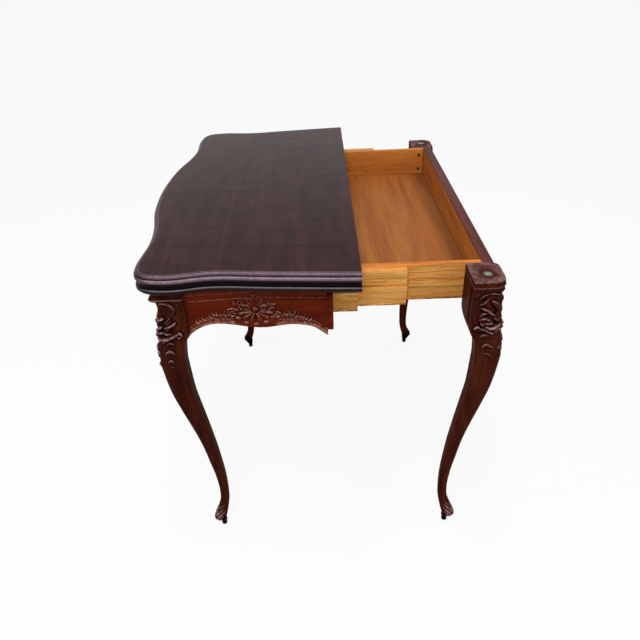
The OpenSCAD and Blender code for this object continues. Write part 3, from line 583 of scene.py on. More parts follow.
def edge_profile(upper):
    """Rows of the edge (how far in, depth from the show face, mark of painted light): painted
    highlights on a thin arris, the ovolo and the nosing, and painted shade in a quirk and a
    recess. The lower leaf's marks are darker, as painted shade under the top's edge."""
    # Painted highlight on the upper leaf's ovolo, strongest at its top; painted shade on the
    # lower's
    ovolo = [(STEP_IN - 0.3 - (STEP_IN - 0.3 - OVOLO_IN) * math.sin(a),
              NOSING_TOP - 0.4 - (NOSING_TOP - 1.8) * math.cos(a),
              (0.54 + 0.3 * math.cos(a) ** 1.5) if upper else 0.3)
             for a in np.radians(np.linspace(0, 90, 9))]
    round_r = (NOSING_LOW - NOSING_TOP) / 2
    # Painted highlight and shade on the nosing, by which way each row faces
    slopes = [-88, -60, -25, 0, 50, 75, 88]
    shines = ([0.56, 0.8, 0.7, 0.86, 1.0, 0.9, 0.6] if upper
              else [0.1, 0.15, 0.2, 0.4, 0.8, 1.0, 0.4])
    nosing = [(QUIRK_IN * (1 - math.cos(a)), NOSING_TOP + round_r * (1 + math.sin(a)),
               np.interp(math.degrees(-a if upper else a), slopes, shines))
              for a in np.radians(np.linspace(-88, 88, 21))]
    # Painted highlight on the arris, and painted shade in the recess
    arris = 0.8 if upper else 0.4
    band = 0.56 if upper else 0.15
    return ([(STEP_IN + 1.6, 0.0, PLAIN), (STEP_IN + 0.9, 0.02, arris),
             (STEP_IN + 0.2, 0.2, arris), (STEP_IN, 0.5, PLAIN), (STEP_IN, 1.2, 0.34)] + ovolo
            + [(OVOLO_IN - 0.1, NOSING_TOP - 0.1, 0.3)] + nosing
            + [(RECESS_IN, NOSING_LOW + 0.3, band), (RECESS_IN, NOSING_LOW + 1.2, band),
               (RECESS_IN, LEAF_T - 0.8, 0.15), (RECESS_IN + 0.2, LEAF_T - 0.3, 0.15),
               (RECESS_IN + 0.6, LEAF_T - LEAF_GAP, PLAIN)])


def outline(inset):
    """Right edge moved in, then its left twin: from hinge to hinge round the front."""
    right = EDGE + inset * INWARD
    right[-1, 1] = -LEAF_GAP
    left = right[:0:-1] * [-1, 1]
    return np.vstack([left, right])


def edge_light_marks(lines, profile):
    """How strong the edge's painted highlights are: strongest at the ends, and weaker along
    the front, away from the light."""
    front_at, front_reach = 378, 24
    marks = []
    for line, (inset, _, mark) in zip(lines, profile):
        front = rising(-line[:, Y], front_at, front_reach)
        kept = 0.6 if inset > STEP_IN else 0.3
        painted_highlight = PLAIN + (mark - PLAIN) * (1 - (1 - kept) * front)
        marks.append(np.where(mark > PLAIN, painted_highlight, mark))
    return np.concatenate(marks)


def baize_recess(node, outward):
    """Cutter for the baize's recess: the CAD baize 0.2 mm wider, and 1 mm past its face."""
    work = bmesh.new()
    work.from_mesh(cad[node].data)
    bmesh.ops.remove_doubles(work, verts=work.verts, dist=0.01 * MM)
    bmesh.ops.recalc_face_normals(work, faces=work.faces)
    low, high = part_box(node)
    middle = (low + high) / 2
    for v in work.verts:
        for k in (X, Y):
            v.co[k] = middle[k] + (v.co[k] - middle[k]) * (1 + 0.2 * MM / (high[k] - low[k]))
        if abs(v.co.z - HINGE_Z * MM) < 0.5 * MM:
            v.co.z += outward * MM
    return cutter_mesh("baize_recess", work)


def make_leaf(node, body, baize_node, wood, upper):
    profile = edge_profile(upper)
    lines = [outline(inset) for inset, _, _ in profile]
    show = HINGE_Z + LEAF_T if upper else LEG_H
    turn = -1 if upper else 1
    rows, count = len(profile), len(lines[0])
    points = np.vstack([np.column_stack([
        line[:, 0], line[:, 1] + HINGE_Y, np.full(count, show + turn * depth)])
        for line, (_, depth, _) in zip(lines, profile)])
    hinge_end = (tuple(i * count for i in range(rows))
                 + tuple(i * count + count - 1 for i in reversed(range(rows))))
    faces = net(rows, count) + ends(rows, count) + [hinge_end]
    leaf = piece(node + "_moulded", points, faces, wood, body, "polished_mahogany", node,
                 crease=28, relief=edge_light_marks(lines, profile))
    cut_out(leaf, baize_recess(baize_node, turn))
    cut_out(leaf, cutter_of("hinge_room", *[
        ((x - PLATE_HALF, HINGE_Y - PLATE_DEEP, HINGE_Z - PLATE_T),
         (x + PLATE_HALF, HINGE_Y + CUT_PAST, HINGE_Z + PLATE_T)) for x in HINGES_X]))
    cut_out(leaf, cutter_of("knuckle_room", rounds=[
        ((x, HINGE_Y, HINGE_Z), KNUCKLE_R, KNUCKLE_LONG, X) for x in HINGES_X]))


make_leaf("fixed_leaf", "carcase", "fixed_baize", LOWER_LEAF_SHADED, upper=False)
make_leaf("folding_leaf", "top_leaf", "folding_baize", TOP, upper=True)


# Carving: leaves and ribs, crowned or cut with one sharp edge that throws a shadow

def carve(a, z, strokes):
    """Height of the carving in mm at distances a from its middle line and heights z.
    Each stroke is (points, half width at its start, at its end, height, edge); edge 1 has
    its lower edge sharp, -1 its upper edge, and 0 is crowned."""
    height = np.zeros_like(a)
    for points, wide, thin, tall, edge in strokes:
        p = np.array(points, float)
        side = edge * (1 if p[-1, 0] < p[0, 0] else -1)
        if len(p) > 2:
            p = smooth_line(np.vstack([2 * p[0] - p[1], p, 2 * p[-1] - p[-2]]), 4)
        run = np.concatenate([[0], np.cumsum(np.hypot(*np.diff(p, axis=0).T))])
        reach = max(wide, thin)
        near = ((a > p[:, 0].min() - reach) & (a < p[:, 0].max() + reach)
                & (z > p[:, 1].min() - reach) & (z < p[:, 1].max() + reach))
        if not near.any():
            continue
        u, v, best = a[near], z[near], height[near]
        for i in range(len(p) - 1):
            d = p[i + 1] - p[i]
            t = np.clip(((u - p[i, 0]) * d[0] + (v - p[i, 1]) * d[1]) / (d @ d), 0, 1)
            gap = np.hypot(u - p[i, 0] - t * d[0], v - p[i, 1] - t * d[1])
            way = (run[i] + t * (run[i + 1] - run[i])) / run[-1]
            # A leaf is widest and highest halfway along, and thin at both ends
            swell = np.sqrt(np.clip(4 * way * (1 - way), 0, 1))
            half = (wide + (thin - wide) * way) * (0.4 + 0.7 * swell)
            crown = ridge(gap, half)
            if side:
                across = side * np.sign(d[0] * (v - p[i, 1]) - d[1] * (u - p[i, 0])) * gap / half
                crown = (np.clip((1 + across) / 1.8, 0, 1) ** 1.3
                         * np.clip((1 - across) / 0.2, 0, 1) ** 0.5)
            best = np.maximum(best, tall * (0.35 + 0.65 * swell) * crown)
        height[near] = best
    return height


def hollow(a, z, centre, radii, deep):
    """A dished oval, cut in below the ground."""
    far = ((a - centre[0]) / radii[0]) ** 2 + ((z - centre[1]) / radii[1]) ** 2
    return -deep * np.clip(1 - far, 0, 1) ** 0.7


def scroll(centre, r, turns, start, spin):
    """Points of a volute that winds into its eye."""
    t = np.linspace(0, 1, int(10 * turns) + 2)
    angle = math.radians(start) + spin * t * turns * 2 * math.pi
    size = r * (1 - 0.72 * t)
    return [(centre[0] + s * math.cos(w), centre[1] + s * math.sin(w))
            for s, w in zip(size, angle)]


# Carving of the knees: (distance from the leg's corner round its face, height)
FRONT_KNEE = [
    ([(6, 695), (20, 697), (31, 690), (34, 678), (30, 667)], 2.6, 3.6, 5.2, 1),
    ([(-12, 655), (0, 657), (10, 661)], 7.0, 4.2, 7.6, 1),
    ([(8, 650), (17, 656), (25, 665)], 1.7, 1.3, 4.4, 1),
    ([(12, 647), (20, 652), (28, 660)], 1.7, 1.3, 4.4, 1),
    ([(15, 643), (24, 647), (32, 652)], 4.8, 3.8, 6.2, 1),
    ([(12, 640), (17, 637), (16, 632)], 3.6, 2.6, 4.6, 0),
    ([(-12, 632), (-4, 636), (7, 643)], 5.6, 3.2, 7.2, 1),
    ([(-12, 624), (-2, 627), (10, 631)], 4.6, 3.0, 5.8, 1),
    ([(9, 629), (18, 628), (25, 627)], 3.0, 2.2, 4.0, 1),
    ([(3, 614), (16, 618), (27, 623), (36, 627)], 4.6, 5.2, 6.6, 1),
    ([(37, 630), (43, 625), (41, 618), (36, 620)], 3.0, 2.0, 5.8, 0),
    ([(-8, 614), (3, 612), (12, 607)], 4.4, 2.2, 4.6, 1),
    ([(14, 604), (21, 609), (29, 605)], 3.4, 2.4, 4.0, 1),
    ([(12, 583), (17, 589), (24, 590), (31, 584)], 5.8, 4.2, 5.4, 1),
    ([(-14, 578), (-4, 583), (3, 577)], 5.0, 2.8, 4.8, 1),
    ([(17, 565), (22, 569), (28, 565)], 4.6, 3.2, 4.2, 1),
    ([(-10, 554), (-3, 557), (3, 552)], 4.0, 2.4, 3.6, 1),
    ([(20, 552), (23, 554), (27, 552)], 2.8, 2.0, 2.4, 1),
    ([(42, 694), (44, 687), (45, 681)], 1.8, 1.2, 2.4, 0),
    ([(49, 694), (46, 666), (46, 640)], 1.3, 1.1, 1.5, 0),
]
FRONT_HOLLOWS = [((12, 676), (17, 15), 3.2), ((-8, 642), (5, 4), 2.0), ((25, 636), (5, 4), 2.0),
                 ((9, 622), (5, 3), 1.6), ((21, 600), (8, 5), 1.2), ((2, 603), (6, 5), 1.2)]
BACK_KNEE = [
    ([(51, 683), (46, 696)], 1.8, 1.2, 2.4, 0),
    ([(42, 668), (32, 672), (24, 684)], 2.2, 1.2, 3.4, 1),
    ([(42, 677), (36, 688), (26, 693)], 1.8, 1.2, 2.4, 0),
    ([(28, 692), (18, 693), (4, 688)], 1.8, 1.6, 2.4, 0),
    ([(17, 676), (10, 668), (2, 654)], 5.0, 4.6, 5.4, 0),
    ([(36, 662), (23, 656), (10, 644)], 4.6, 3.2, 5.0, 1),
    ([(41, 642), (32, 650), (24, 650)], 3.4, 2.4, 3.8, 1),
    ([(40, 638), (30, 640), (20, 636)], 5.4, 3.6, 5.2, 1),
    ([(34, 631), (26, 630), (16, 630)], 4.4, 3.0, 4.4, 1),
    ([(12, 640), (2, 633)], 3.4, 2.6, 4.6, 1),
    ([(37, 630), (34, 627), (32, 624)], 3.4, 2.4, 4.6, 1),
    ([(30, 624), (20, 620), (10, 622), (-2, 625)], 4.0, 3.4, 6.0, 1),
    ([(47, 612), (49, 618), (44, 622), (40, 618), (44, 614)], 3.4, 2.0, 5.0, 0),
    ([(42, 618), (32, 618), (22, 612), (14, 608)], 5.2, 3.6, 5.4, 1),
    ([(14, 611), (8, 616), (-3, 613)], 4.6, 3.6, 5.0, 1),
    ([(42, 602), (31, 606), (22, 602)], 3.4, 2.2, 3.6, 1),
    ([(38, 580), (29, 585), (16, 578)], 5.2, 3.6, 4.8, 1),
    ([(12, 576), (3, 580)], 4.6, 3.6, 4.4, 1),
    ([(33, 565), (26, 564), (18, 557)], 4.0, 2.6, 3.6, 1),
    ([(10, 550), (2, 552)], 3.6, 2.8, 3.2, 1),
    ([(51, 607), (46, 594), (41, 578)], 2.6, 2.0, 2.4, 1),
]
BACK_HOLLOWS = [((33, 680), (7, 4), 2.4), ((10, 630), (5, 4), 2.6), ((10, 650), (5, 4), 1.6),
                ((42, 609), (4, 3), 1.2), ((25, 595), (8, 5), 1.2), ((36, 655), (4, 3), 1.2),
                ((30, 613), (6, 2.5), 1.4)]


def knee_carving(a, z, strokes, hollows):
    """The carving on the side face, run round the corner into its mirrored half. The ground
    between the leaves is cut back."""
    halves = []
    for way in (a, -a):
        height = carve(way, z, strokes)
        for centre, radii, deep in hollows:
            height = height + (hollow(way, z, centre, radii, deep)
                               * np.clip(1.5 - height, 0, 1))
        halves.append(height)
    turned = falling(a, -8, 6)
    height = halves[0] * (1 - turned) + halves[1] * turned
    ground = falling(np.abs(a), 46, 3) * rising(z, 596, 20) * falling(z, 699, 3)
    return height - 0.8 * ground * (height < 0.3)


# Ribs of the scroll toe
TOE = [([(1, 31), (5, 38), (11, 47), (18, 55)], 2.8, 2.0, 1.7, 0),
       ([(4, 25), (9, 32), (14, 40), (19, 46)], 2.8, 2.0, 1.7, 0),
       ([(9, 22), (13, 27), (18, 35)], 2.4, 1.8, 1.4, 0),
       ([(0, 42), (4, 51), (11, 62)], 2.6, 1.8, 1.5, 0),
       ([(1, 58), (5, 66), (10, 74)], 2.0, 1.4, 1.1, 0)]

# Stations of the leg: [height, outer face from the block's outer face, thickness], and the
# shares of the way from one to the next that its curve passes through
SOLE, TOE_AT, ANKLE, KNEE = [16, -43.5, 14.5], [36, -31, 28], [105, -50, 21.5], [545, 9, 54]
SOLE_TO_TOE = [[0, 0, 0], [0.4, 0.45, 0.4], [0.75, 0.88, 0.8]]
TOE_TO_ANKLE = [[0, 0, 0], [0.06, 0.06, 0.03], [0.14, 0.2, 0.14], [0.25, 0.4, 0.34],
                [0.38, 0.59, 0.57], [0.54, 0.79, 0.83], [0.72, 0.93, 0.96]]
ANKLE_TO_KNEE = [[0, 0, 0], [0.13, 0.04, 0.09], [0.28, 0.17, 0.23], [0.38, 0.26, 0.3],
                 [0.47, 0.365, 0.38], [0.56, 0.49, 0.495], [0.65, 0.625, 0.62],
                 [0.73, 0.74, 0.72], [0.81, 0.85, 0.815], [0.9, 0.935, 0.92], [1, 1, 1]]

# Heights of the block's top plate, of the neck under it and of the block's foot, and the
# drop over which the block runs out into the leg; the knee's swell and the neck's waist
PLATE_Z, NECK_Z, BLOCK_Z, TAPER_H = 698.0, 676.0, 626.0, 34.0
KNEE_OUT, NECK_IN = 9.0, 2.5

# The knee is carved from here up, and the toe's ribs end below here
CARVED_FROM, TOE_TOP = 536.0, 78.0

# Radius of the leg's edges where they are only eased
EASED_R = 1.2

# A distance round the leg that no carving reaches
FAR = 999.0

# Tongue of a side apron, from the hinge line, and its slot in the closed frame's leg
TONGUE_LOW, TONGUE_HIGH = (404.0, -62.5, 617.0), (418.0, -51.0, 696.0)
SLOT_ROOM = 0.5

# Room for the cup of the rest stud in the top of a back leg
CUP_IN_X, CUP_IN_Y, CUP_R, CUP_LONG = 34.0, 30.0, 11.1, 4.4

# Lip round the block's top: (height over the carving, how far out)
FRONT_LIP = [(0, -0.6), (1, 0.4), (2, 1.6), (3, 2.8), (4, 3.8), (5, 4.6), (5.8, 4.9), (6.6, 4.5),
             (7.4, 3.4), (8.4, 2.0), (9.6, 0.7), (11, -0.5), (13, -1.4), (16, -1.8), (20, -1.9)]
BACK_LIP = [(0, -1.2), (5.5, -0.8), (6, 1.0), (7.3, 1.7), (8.7, 1.3), (9.4, 0.3), (9.9, 0.0),
            (12.5, 0.0), (14.5, 0.0), (17.3, -0.25), (17.8, -0.45), (18.1, -0.6), (18.5, -0.8)]


def stations():
    """Height, outer face and thickness of the leg wherever its curve is given."""
    rows = []
    for shares, low, high in ((SOLE_TO_TOE, SOLE, TOE_AT), (TOE_TO_ANKLE, TOE_AT, ANKLE),
                              (ANKLE_TO_KNEE, ANKLE, KNEE)):
        low, high = np.array(low, float), np.array(high, float)
        rows += [low + np.array(share) * (high - low) for share in shares]
    return np.array(rows)


def leg_rows(lip):
    """Heights of the leg's rows: close together where it is carved."""
    return np.concatenate([np.arange(16, TOE_TOP, 0.85), np.arange(TOE_TOP + 1, CARVED_FROM, 4.0),
                           np.arange(CARVED_FROM, PLATE_Z - 0.6, 1.1), [PLATE_Z - 0.4],
                           PLATE_Z + np.array(lip)[:, 0]])


def leg_corners(z, back, block_x, corner_r, rail_r, lip_rows):
    """The leg's four corners at every height, the outer one first: (x, y, radius, way to its
    centre in x and y, first angle, steps round it, points from it to the next)."""
    table = stations()
    low_out, low_wide = (at(z, table[:, 0], table[:, k]) for k in (1, 2))
    above_knee = (1 - np.cos(math.pi * rising(z, KNEE[0], NECK_Z - KNEE[0]))) / 2
    above_neck = (1 - np.cos(math.pi * rising(z, NECK_Z, PLATE_Z - NECK_Z))) / 2
    out = np.where(z < KNEE[0], low_out, KNEE_OUT + (-NECK_IN - KNEE_OUT) * above_knee
                   + (NECK_IN - 0.4) * above_neck)
    wide = np.where(z < KNEE[0], low_wide, KNEE[2])
    plate = z >= PLATE_Z
    lip = np.interp(z - PLATE_Z, *np.array(lip_rows).T)
    out = np.where(plate, lip, out)
    outer_r = np.where(plate, corner_r + lip, 0.42 * wide)
    t = falling(z, BLOCK_Z, TAPER_H)
    fillet = (1 - t ** 2) ** 0.7 if back else 1 - np.sin(t * math.pi / 2)
    slim = out - wide
    in_x = slim + (-block_x - slim) * fillet
    in_y = slim + (-BLOCK_Y - slim) * fillet
    side_r = EASED_R + 0.1 * t * (wide - 1.5)
    inner_r = EASED_R + 0.44 * t * (wide - 1.5)
    rail_side = np.where(plate, rail_r, side_r)
    return [(out, out, outer_r, -1, -1, 0, 36, 42), (in_x, out, rail_side, 1, -1, 90, 8, 12),
            (in_x, in_y, inner_r, 1, 1, 180, 10, 12), (out, in_y, side_r, -1, 1, 270, 8, 42)]


def round_leg(turns):
    """Points round the leg at every height: their x and y, the way outward, and how far
    they are from the outer corner's middle, round its two carved faces."""
    arcs = []
    for x, y, r, way_x, way_y, first, steps, _ in turns:
        angle = np.radians(first + np.linspace(0, 90, steps + 1))[None, :]
        shape = (len(x), steps + 1)
        arcs.append((x + way_x * r + r * np.cos(angle), y + way_y * r + r * np.sin(angle),
                     np.broadcast_to(np.cos(angle), shape),
                     np.broadcast_to(np.sin(angle), shape)))
    outer_r = turns[0][2]
    columns = []
    for k, (x, y, out_x, out_y) in enumerate(arcs):
        a = np.full(x.shape, FAR)
        if k == 0:
            a = np.radians(45 - np.linspace(0, 90, x.shape[1]))[None, :] * outer_r
        columns.append((x, y, out_x, out_y, a))
        x, y, out_x, out_y = x[:, -1:], y[:, -1:], out_x[:, -1:], out_y[:, -1:]
        next_x, next_y = (places[:, :1] for places in arcs[(k + 1) % 4][:2])
        count = turns[k][-1]
        share = (np.arange(count) + 1)[None, :] / (count + 1)
        run = np.hypot(next_x - x, next_y - y) * share
        a = np.full(run.shape, FAR)
        # The two carved faces lie after the outer corner and before it
        if k == 0:
            a = -(outer_r * math.pi / 4 + run)
        elif k == 3:
            a = outer_r * math.pi / 4 + run[:, ::-1]
        columns.append((x + share * (next_x - x), y + share * (next_y - y),
                        np.broadcast_to(out_x, run.shape), np.broadcast_to(out_y, run.shape), a))
    return [np.hstack(parts) for parts in zip(*columns)]


def light_and_wax_marks(height, z, tall, wax_and_shade, shine):
    """Marks for painted highlights, on crests that are up to tall mm high and on slopes that
    look up, for painted shade on slopes that look down, below sharp edges, and for dark wax
    and painted shade in hollows."""
    flattest = 0.36
    mean = height
    for _ in range(3):
        mean = (np.roll(mean, 2, 0) + np.roll(mean, -2, 0) + np.roll(mean, 2, 1)
                + np.roll(mean, -2, 1) + mean) / 5
    rise = height - mean
    up = -np.gradient(height, axis=0) / np.gradient(z, axis=0)
    proud = np.clip(height / 1.2, 0, 1)
    crest = 0.25 + 0.75 * np.clip(height / tall, 0, 1) ** 1.6
    # Painted highlight where slopes look up, painted shade where they look down
    lit = shine * crest * np.clip(up - flattest, 0, 0.9)
    shaded = 0.28 * np.clip(-up, 0, 1.2)
    # Crests a little paler, and hollows dark with wax and painted shade
    return PLAIN + np.where(rise > 0, 0.05, wax_and_shade) * rise + proud * (lit - shaded)


def leg_light_and_wax(height, toe, a, z, back):
    """Painted highlights and shade of the carving, with wax in its hollows; painted highlights on
    the toe's ribs and the toe's front; darker towards the sole; painted shade on the foot's
    sides; and painted highlights on the block's lip and top."""
    # Painted highlights and shade of the carving, and painted highlights on the toe's ribs
    relief = light_and_wax_marks(height, z, tall=4.2, wax_and_shade=0.3, shine=0.8) + 0.22 * toe * rising(z, 22, 8)
    # Painted highlight on the front of the toe
    relief += 0.1 * falling(z, 72, 20) * falling(np.abs(a), 20, 6)
    # Darker towards the sole
    relief -= 0.4 * falling(z, 31, 9)
    # Painted shade on the sides of the foot
    relief -= 0.3 * rising(np.abs(a), 11, 8) * falling(z, 66, 34)
    # Painted highlights on the block's lip, and on the back legs' plate top
    over = z - PLATE_Z
    if back:
        return relief + (0.33 * (np.abs(over - 7.3) < 0.4) + 0.3 * (np.abs(over - 17.8) < 0.1)
                         + 0.27 * (over > 18))
    return relief + 0.4 * (np.abs(over - 6.2) < 0.6)


def make_legs(name, back, block_x, corner_r, rail_r):
    """A pair of legs. Block_x is the block's width, and corner_r and rail_r round the top's
    outer corner and the one at the rail."""
    lip_rows = BACK_LIP if back else FRONT_LIP
    z = leg_rows(lip_rows)[:, None]
    x, y, out_x, out_y, a = round_leg(leg_corners(z, back, block_x, corner_r, rail_r, lip_rows))
    z = np.broadcast_to(z, x.shape)
    carved = (z > CARVED_FROM) & (z < PLATE_Z - 0.5)
    strokes, hollows = (BACK_KNEE, BACK_HOLLOWS) if back else (FRONT_KNEE, FRONT_HOLLOWS)
    height = np.where(carved, knee_carving(np.where(carved, a, FAR), z, strokes, hollows), 0.0)
    low = z < TOE_TOP
    toe = np.where(low, carve(np.where(low, np.abs(a), FAR), z, TOE), 0.0)
    height = height + toe
    flip = np.array([1, 1 if back else -1, 1])
    leg_y = HINGE_Y + (PULL if back else FRONT_Y)
    points = np.column_stack([(x + out_x * height).ravel(), (y + out_y * height).ravel(),
                              z.ravel()]) * flip + np.array([LEG_X, leg_y, 0])
    faces = net(*x.shape, closed=True) + ends(*x.shape)
    body = "pull_out_frame" if back else "carcase"
    right = piece(f"{name}_right_leg_carved", points, faces, LEGS, body, "carved_mahogany",
                  f"{name}_right_leg", relief=leg_light_and_wax(height, toe, a, z, back))
    if back:
        slot = ((TONGUE_LOW[X] - SLOT_ROOM, leg_y - BLOCK_Y - CUT_PAST, TONGUE_LOW[Z] - SLOT_ROOM),
                [place + SLOT_ROOM for place in (TONGUE_HIGH[X], leg_y + TONGUE_HIGH[Y],
                                                 TONGUE_HIGH[Z])])
        cup = ((LEG_X - CUP_IN_X, leg_y - CUP_IN_Y, SLIDE_TOP + 1), CUP_R, CUP_LONG, Z)
        cut_out(right, cutter_of("leg_slot", slot, rounds=[cup]))
    left_twin(right, f"{name}_left_leg_carved", body, f"{name}_left_leg")


make_legs("front", back=False, block_x=76.0, corner_r=6.0, rail_r=EASED_R)
make_legs("back", back=True, block_x=77.0, corner_r=24.0, rail_r=14.0)


# Aprons

# Lower edge of a side apron: (place along Y, height)
SIDE_EDGE = [(-345, 600), (-334, 609), (-329, 616.5), (-322, 622.5), (-315, 627.5),
             (-305, 633), (-296, 636.5), (-285, 638.6), (-275, 639), (-262, 637.6),
             (-248, 634.6), (-234, 631), (-216, 626.4), (-195, 623.6), (-176, 624),
             (-160, 626.8), (-145, 629.8), (-128, 631.8), (-114, 631.4), (-102, 630),
             (-93, 627.8), (-86, 624.6), (-79, 619.8), (-72, 614), (-62, 606), (-55, 600)]

# Its ends along Y, how far it runs on into the front leg, the place of its outer face, its
# thickness, and how far its face is hollow in plan
SIDE_LOW, SIDE_HIGH = -329.0, -62.0
SIDE_MIDDLE = (SIDE_LOW + SIDE_HIGH) / 2
SIDE_ROOT = 14.0
SIDE_X, SIDE_T, SIDE_HOLLOW = 420.0, 18.0, 8.0

# The side apron's shell isn't quite in its middle; the rim and its line stop beside it
SIDE_SHELL, SHELL_HALF = -4.0, 36.0

# The front apron follows the edge of the top, set back by FRONT_SET. Its lower edge is
# (share of the half width, drop from the leaf)
FRONT_HALF, FRONT_SET, FRONT_T = 354.0, 33.0, 22.0
FRONT_DROP = [(0, 101), (0.17, 98.5), (0.34, 90.5), (0.48, 85), (0.61, 82.5), (0.72, 84),
              (0.81, 88.5), (0.91, 96), (1.0, 106), (1.1, 118)]

# Heights over the apron's lower edge of the rim, of the groove over it and of its thin
# line, and the double line under the top: (height, how proud, how short of the ends)
RIM_AT, GROOVE_AT, LINE_AT = 4.4, 10.4, 13.2
TOP_LINES = [(704.5, 1.6, 3), (691.5, 1.7, 8)]


def sprig(root, tip, leaves, size, seed):
    """Small pointed leaves in uneven pairs along a stem, as strokes."""
    root, tip = np.array(root, float), np.array(tip, float)
    run = tip - root
    side = np.array([-run[1], run[0]]) / np.hypot(*run)
    ahead = run / np.hypot(*run)
    chance = np.random.default_rng(seed)
    strokes = [([tuple(root), tuple(root + run * 0.5 + side * 1.2), tuple(tip)],
                1.5, 0.9, 2.4, 0)]
    for i in range(leaves):
        for turn in (-1, 1):
            spot = root + run * (i + 0.35 + 0.3 * chance.random()) / leaves
            grow = size * (1 - 0.3 * i / leaves) * (0.8 + 0.5 * chance.random())
            mid = spot + ahead * 0.5 * grow + side * turn * 0.35 * grow
            end = spot + ahead * 0.55 * grow + side * turn * grow
            strokes.append(([tuple(spot), tuple(mid), tuple(end)],
                            2.6 + 1.2 * chance.random(), 1.0, 4.2, 1))
    return strokes


def shell(centre, reach):
    """Fan of broad flutes that hangs from a boss and ends in a lip of rounded lumps."""
    centre = np.array(centre, float)
    strokes = []
    flutes = np.radians(np.linspace(-162, -18, 6))
    between = (flutes[1] - flutes[0]) / 2
    flat = 0.83
    boss_r = 9
    for angle in flutes:
        way = np.array([math.cos(angle), flat * math.sin(angle)])
        strokes.append(([tuple(centre + reach * 0.78 * way), tuple(centre + boss_r * way)],
                        5.6, 1.6, 4.6, 0))
        if angle < flutes[-1]:
            way = np.array([math.cos(angle + between), flat * math.sin(angle + between)])
            across = np.array([-way[1], way[0]])
            lump = centre + reach * 0.9 * way
            strokes.append(([tuple(lump - 5.6 * across), tuple(lump + 5.6 * across)],
                            4.6, 4.6, 5.0, 0))
    return strokes


def volute(centre, r, turns, start, spin):
    """Scroll as a stroke that is thinner towards its eye."""
    return (scroll(centre, r, turns, start, spin), 1.9, 1.1, 3.8, 0)


SIDE_CARVING = (
    shell((SIDE_SHELL, 664), 44)
    + [([(-7, 667), (-4, 669), (-1, 667), (-4, 664), (-7, 667)], 2.2, 2.2, 4.6, 0),
       volute((-19, 670), 7, 1.4, 20, 1), volute((12, 668), 7, 1.4, 160, -1),
       volute((-46, 658), 7, 1.3, 60, 1), volute((38, 653), 7, 1.3, 120, -1),
       volute((81, 644), 6.5, 1.3, 180, -1), volute((-92, 649), 6.5, 1.3, 0, 1),
       ([(-28, 664), (-34, 673), (-36, 683), (-30, 687)], 2.8, 1.0, 4.0, 0),
       ([(-34, 666), (-46, 671), (-58, 669)], 2.8, 1.0, 4.0, 1),
       ([(20, 662), (27, 669), (35, 669)], 2.8, 1.0, 3.8, 1),
       ([(-12, 676), (-18, 685), (-13, 693)], 2.4, 0.9, 3.6, 0),
       ([(3, 674), (10, 683), (5, 690)], 2.4, 0.9, 3.6, 0),
       ([(-4, 676), (-5, 689), (-2, 701)], 2.6, 1.0, 4.2, 0),
       ([(-5, 686), (-13, 692), (-19, 691)], 2.0, 0.8, 3.4, 1),
       ([(-4, 688), (4, 694), (10, 693)], 2.0, 0.8, 3.4, 1),
       ([(-4, 694), (-10, 700)], 1.6, 0.8, 2.8, 0), ([(-3, 695), (4, 701)], 1.6, 0.8, 2.8, 0)]
    + sprig((-48, 656), (-84, 660), 5, 9, 3) + sprig((-80, 656), (-116, 643), 5, 8, 4)
    + sprig((-20, 676), (-44, 682), 3, 6, 5) + sprig((14, 675), (36, 678), 3, 6, 6)
    + sprig((38, 650), (70, 655), 5, 9, 7) + sprig((66, 650), (102, 642), 5, 8, 8)
    + sprig((-52, 647), (-96, 650), 6, 6, 9) + sprig((46, 642), (88, 643), 6, 6, 10)
    + [([(-86, 648), (-76, 645), (-66, 648)], 3.4, 2.0, 4.6, 1),
       ([(-70, 646), (-60, 643), (-52, 647)], 3.2, 2.0, 4.4, 1),
       ([(62, 641), (72, 640), (82, 645)], 3.6, 2.0, 4.8, 1),
       ([(84, 640), (93, 636), (102, 640)], 3.2, 2.0, 4.4, 1)])


def front_carving():
    """Strokes of the front apron, each side the mirror of the other."""
    strokes = (shell((0, 656), 46)
               + [volute((k * 17, 664), 8, 1.3, 90 - k * 70, -k) for k in (-1, 1)]
               + [volute((k * 54, 652), 8, 1.2, 90 - k * 30, -k) for k in (-1, 1)]
               + [([(0, 664), (0, 678), (0, 692)], 2.8, 1.2, 4.4, 0),
                  ([(-7, 668), (-13, 679), (-7, 688)], 2.4, 1.0, 3.8, 0),
                  ([(7, 668), (13, 679), (7, 688)], 2.4, 1.0, 3.8, 0)])
    for k in (-1, 1):
        strokes += sprig((k * 60, 648), (k * 112, 653), 7, 10, 11)
        strokes += sprig((k * 108, 650), (k * 168, 653), 8, 10, 12)
        strokes += sprig((k * 164, 653), (k * 228, 653), 8, 10, 13)
        strokes += sprig((k * 224, 651), (k * 282, 639), 7, 9, 14)
    return strokes


def rim(above):
    """Raised rim on the lower edge, and the thin line that runs above it."""
    groove = np.clip(1 - ((above - GROOVE_AT) / 1.5) ** 2, 0, 1)
    return (3.4 * ridge(above - RIM_AT, 4.6) - 1.1 * groove
            + 1.6 * ridge(above - LINE_AT, 1.6))


def face_lines(s, z, half, low):
    """Double line under the top, and one down each end."""
    tall = np.zeros_like(s)
    for place, high, short in TOP_LINES:
        tall = np.maximum(tall, (np.abs(s) < half - short) * high * ridge(z - place, 1.6))
    ends_high = 1.5 * ridge(half - 8 - np.abs(s), 1.5)
    return np.maximum(tall, ends_high * (z < TOP_LINES[1][0]) * (z > low + 14))


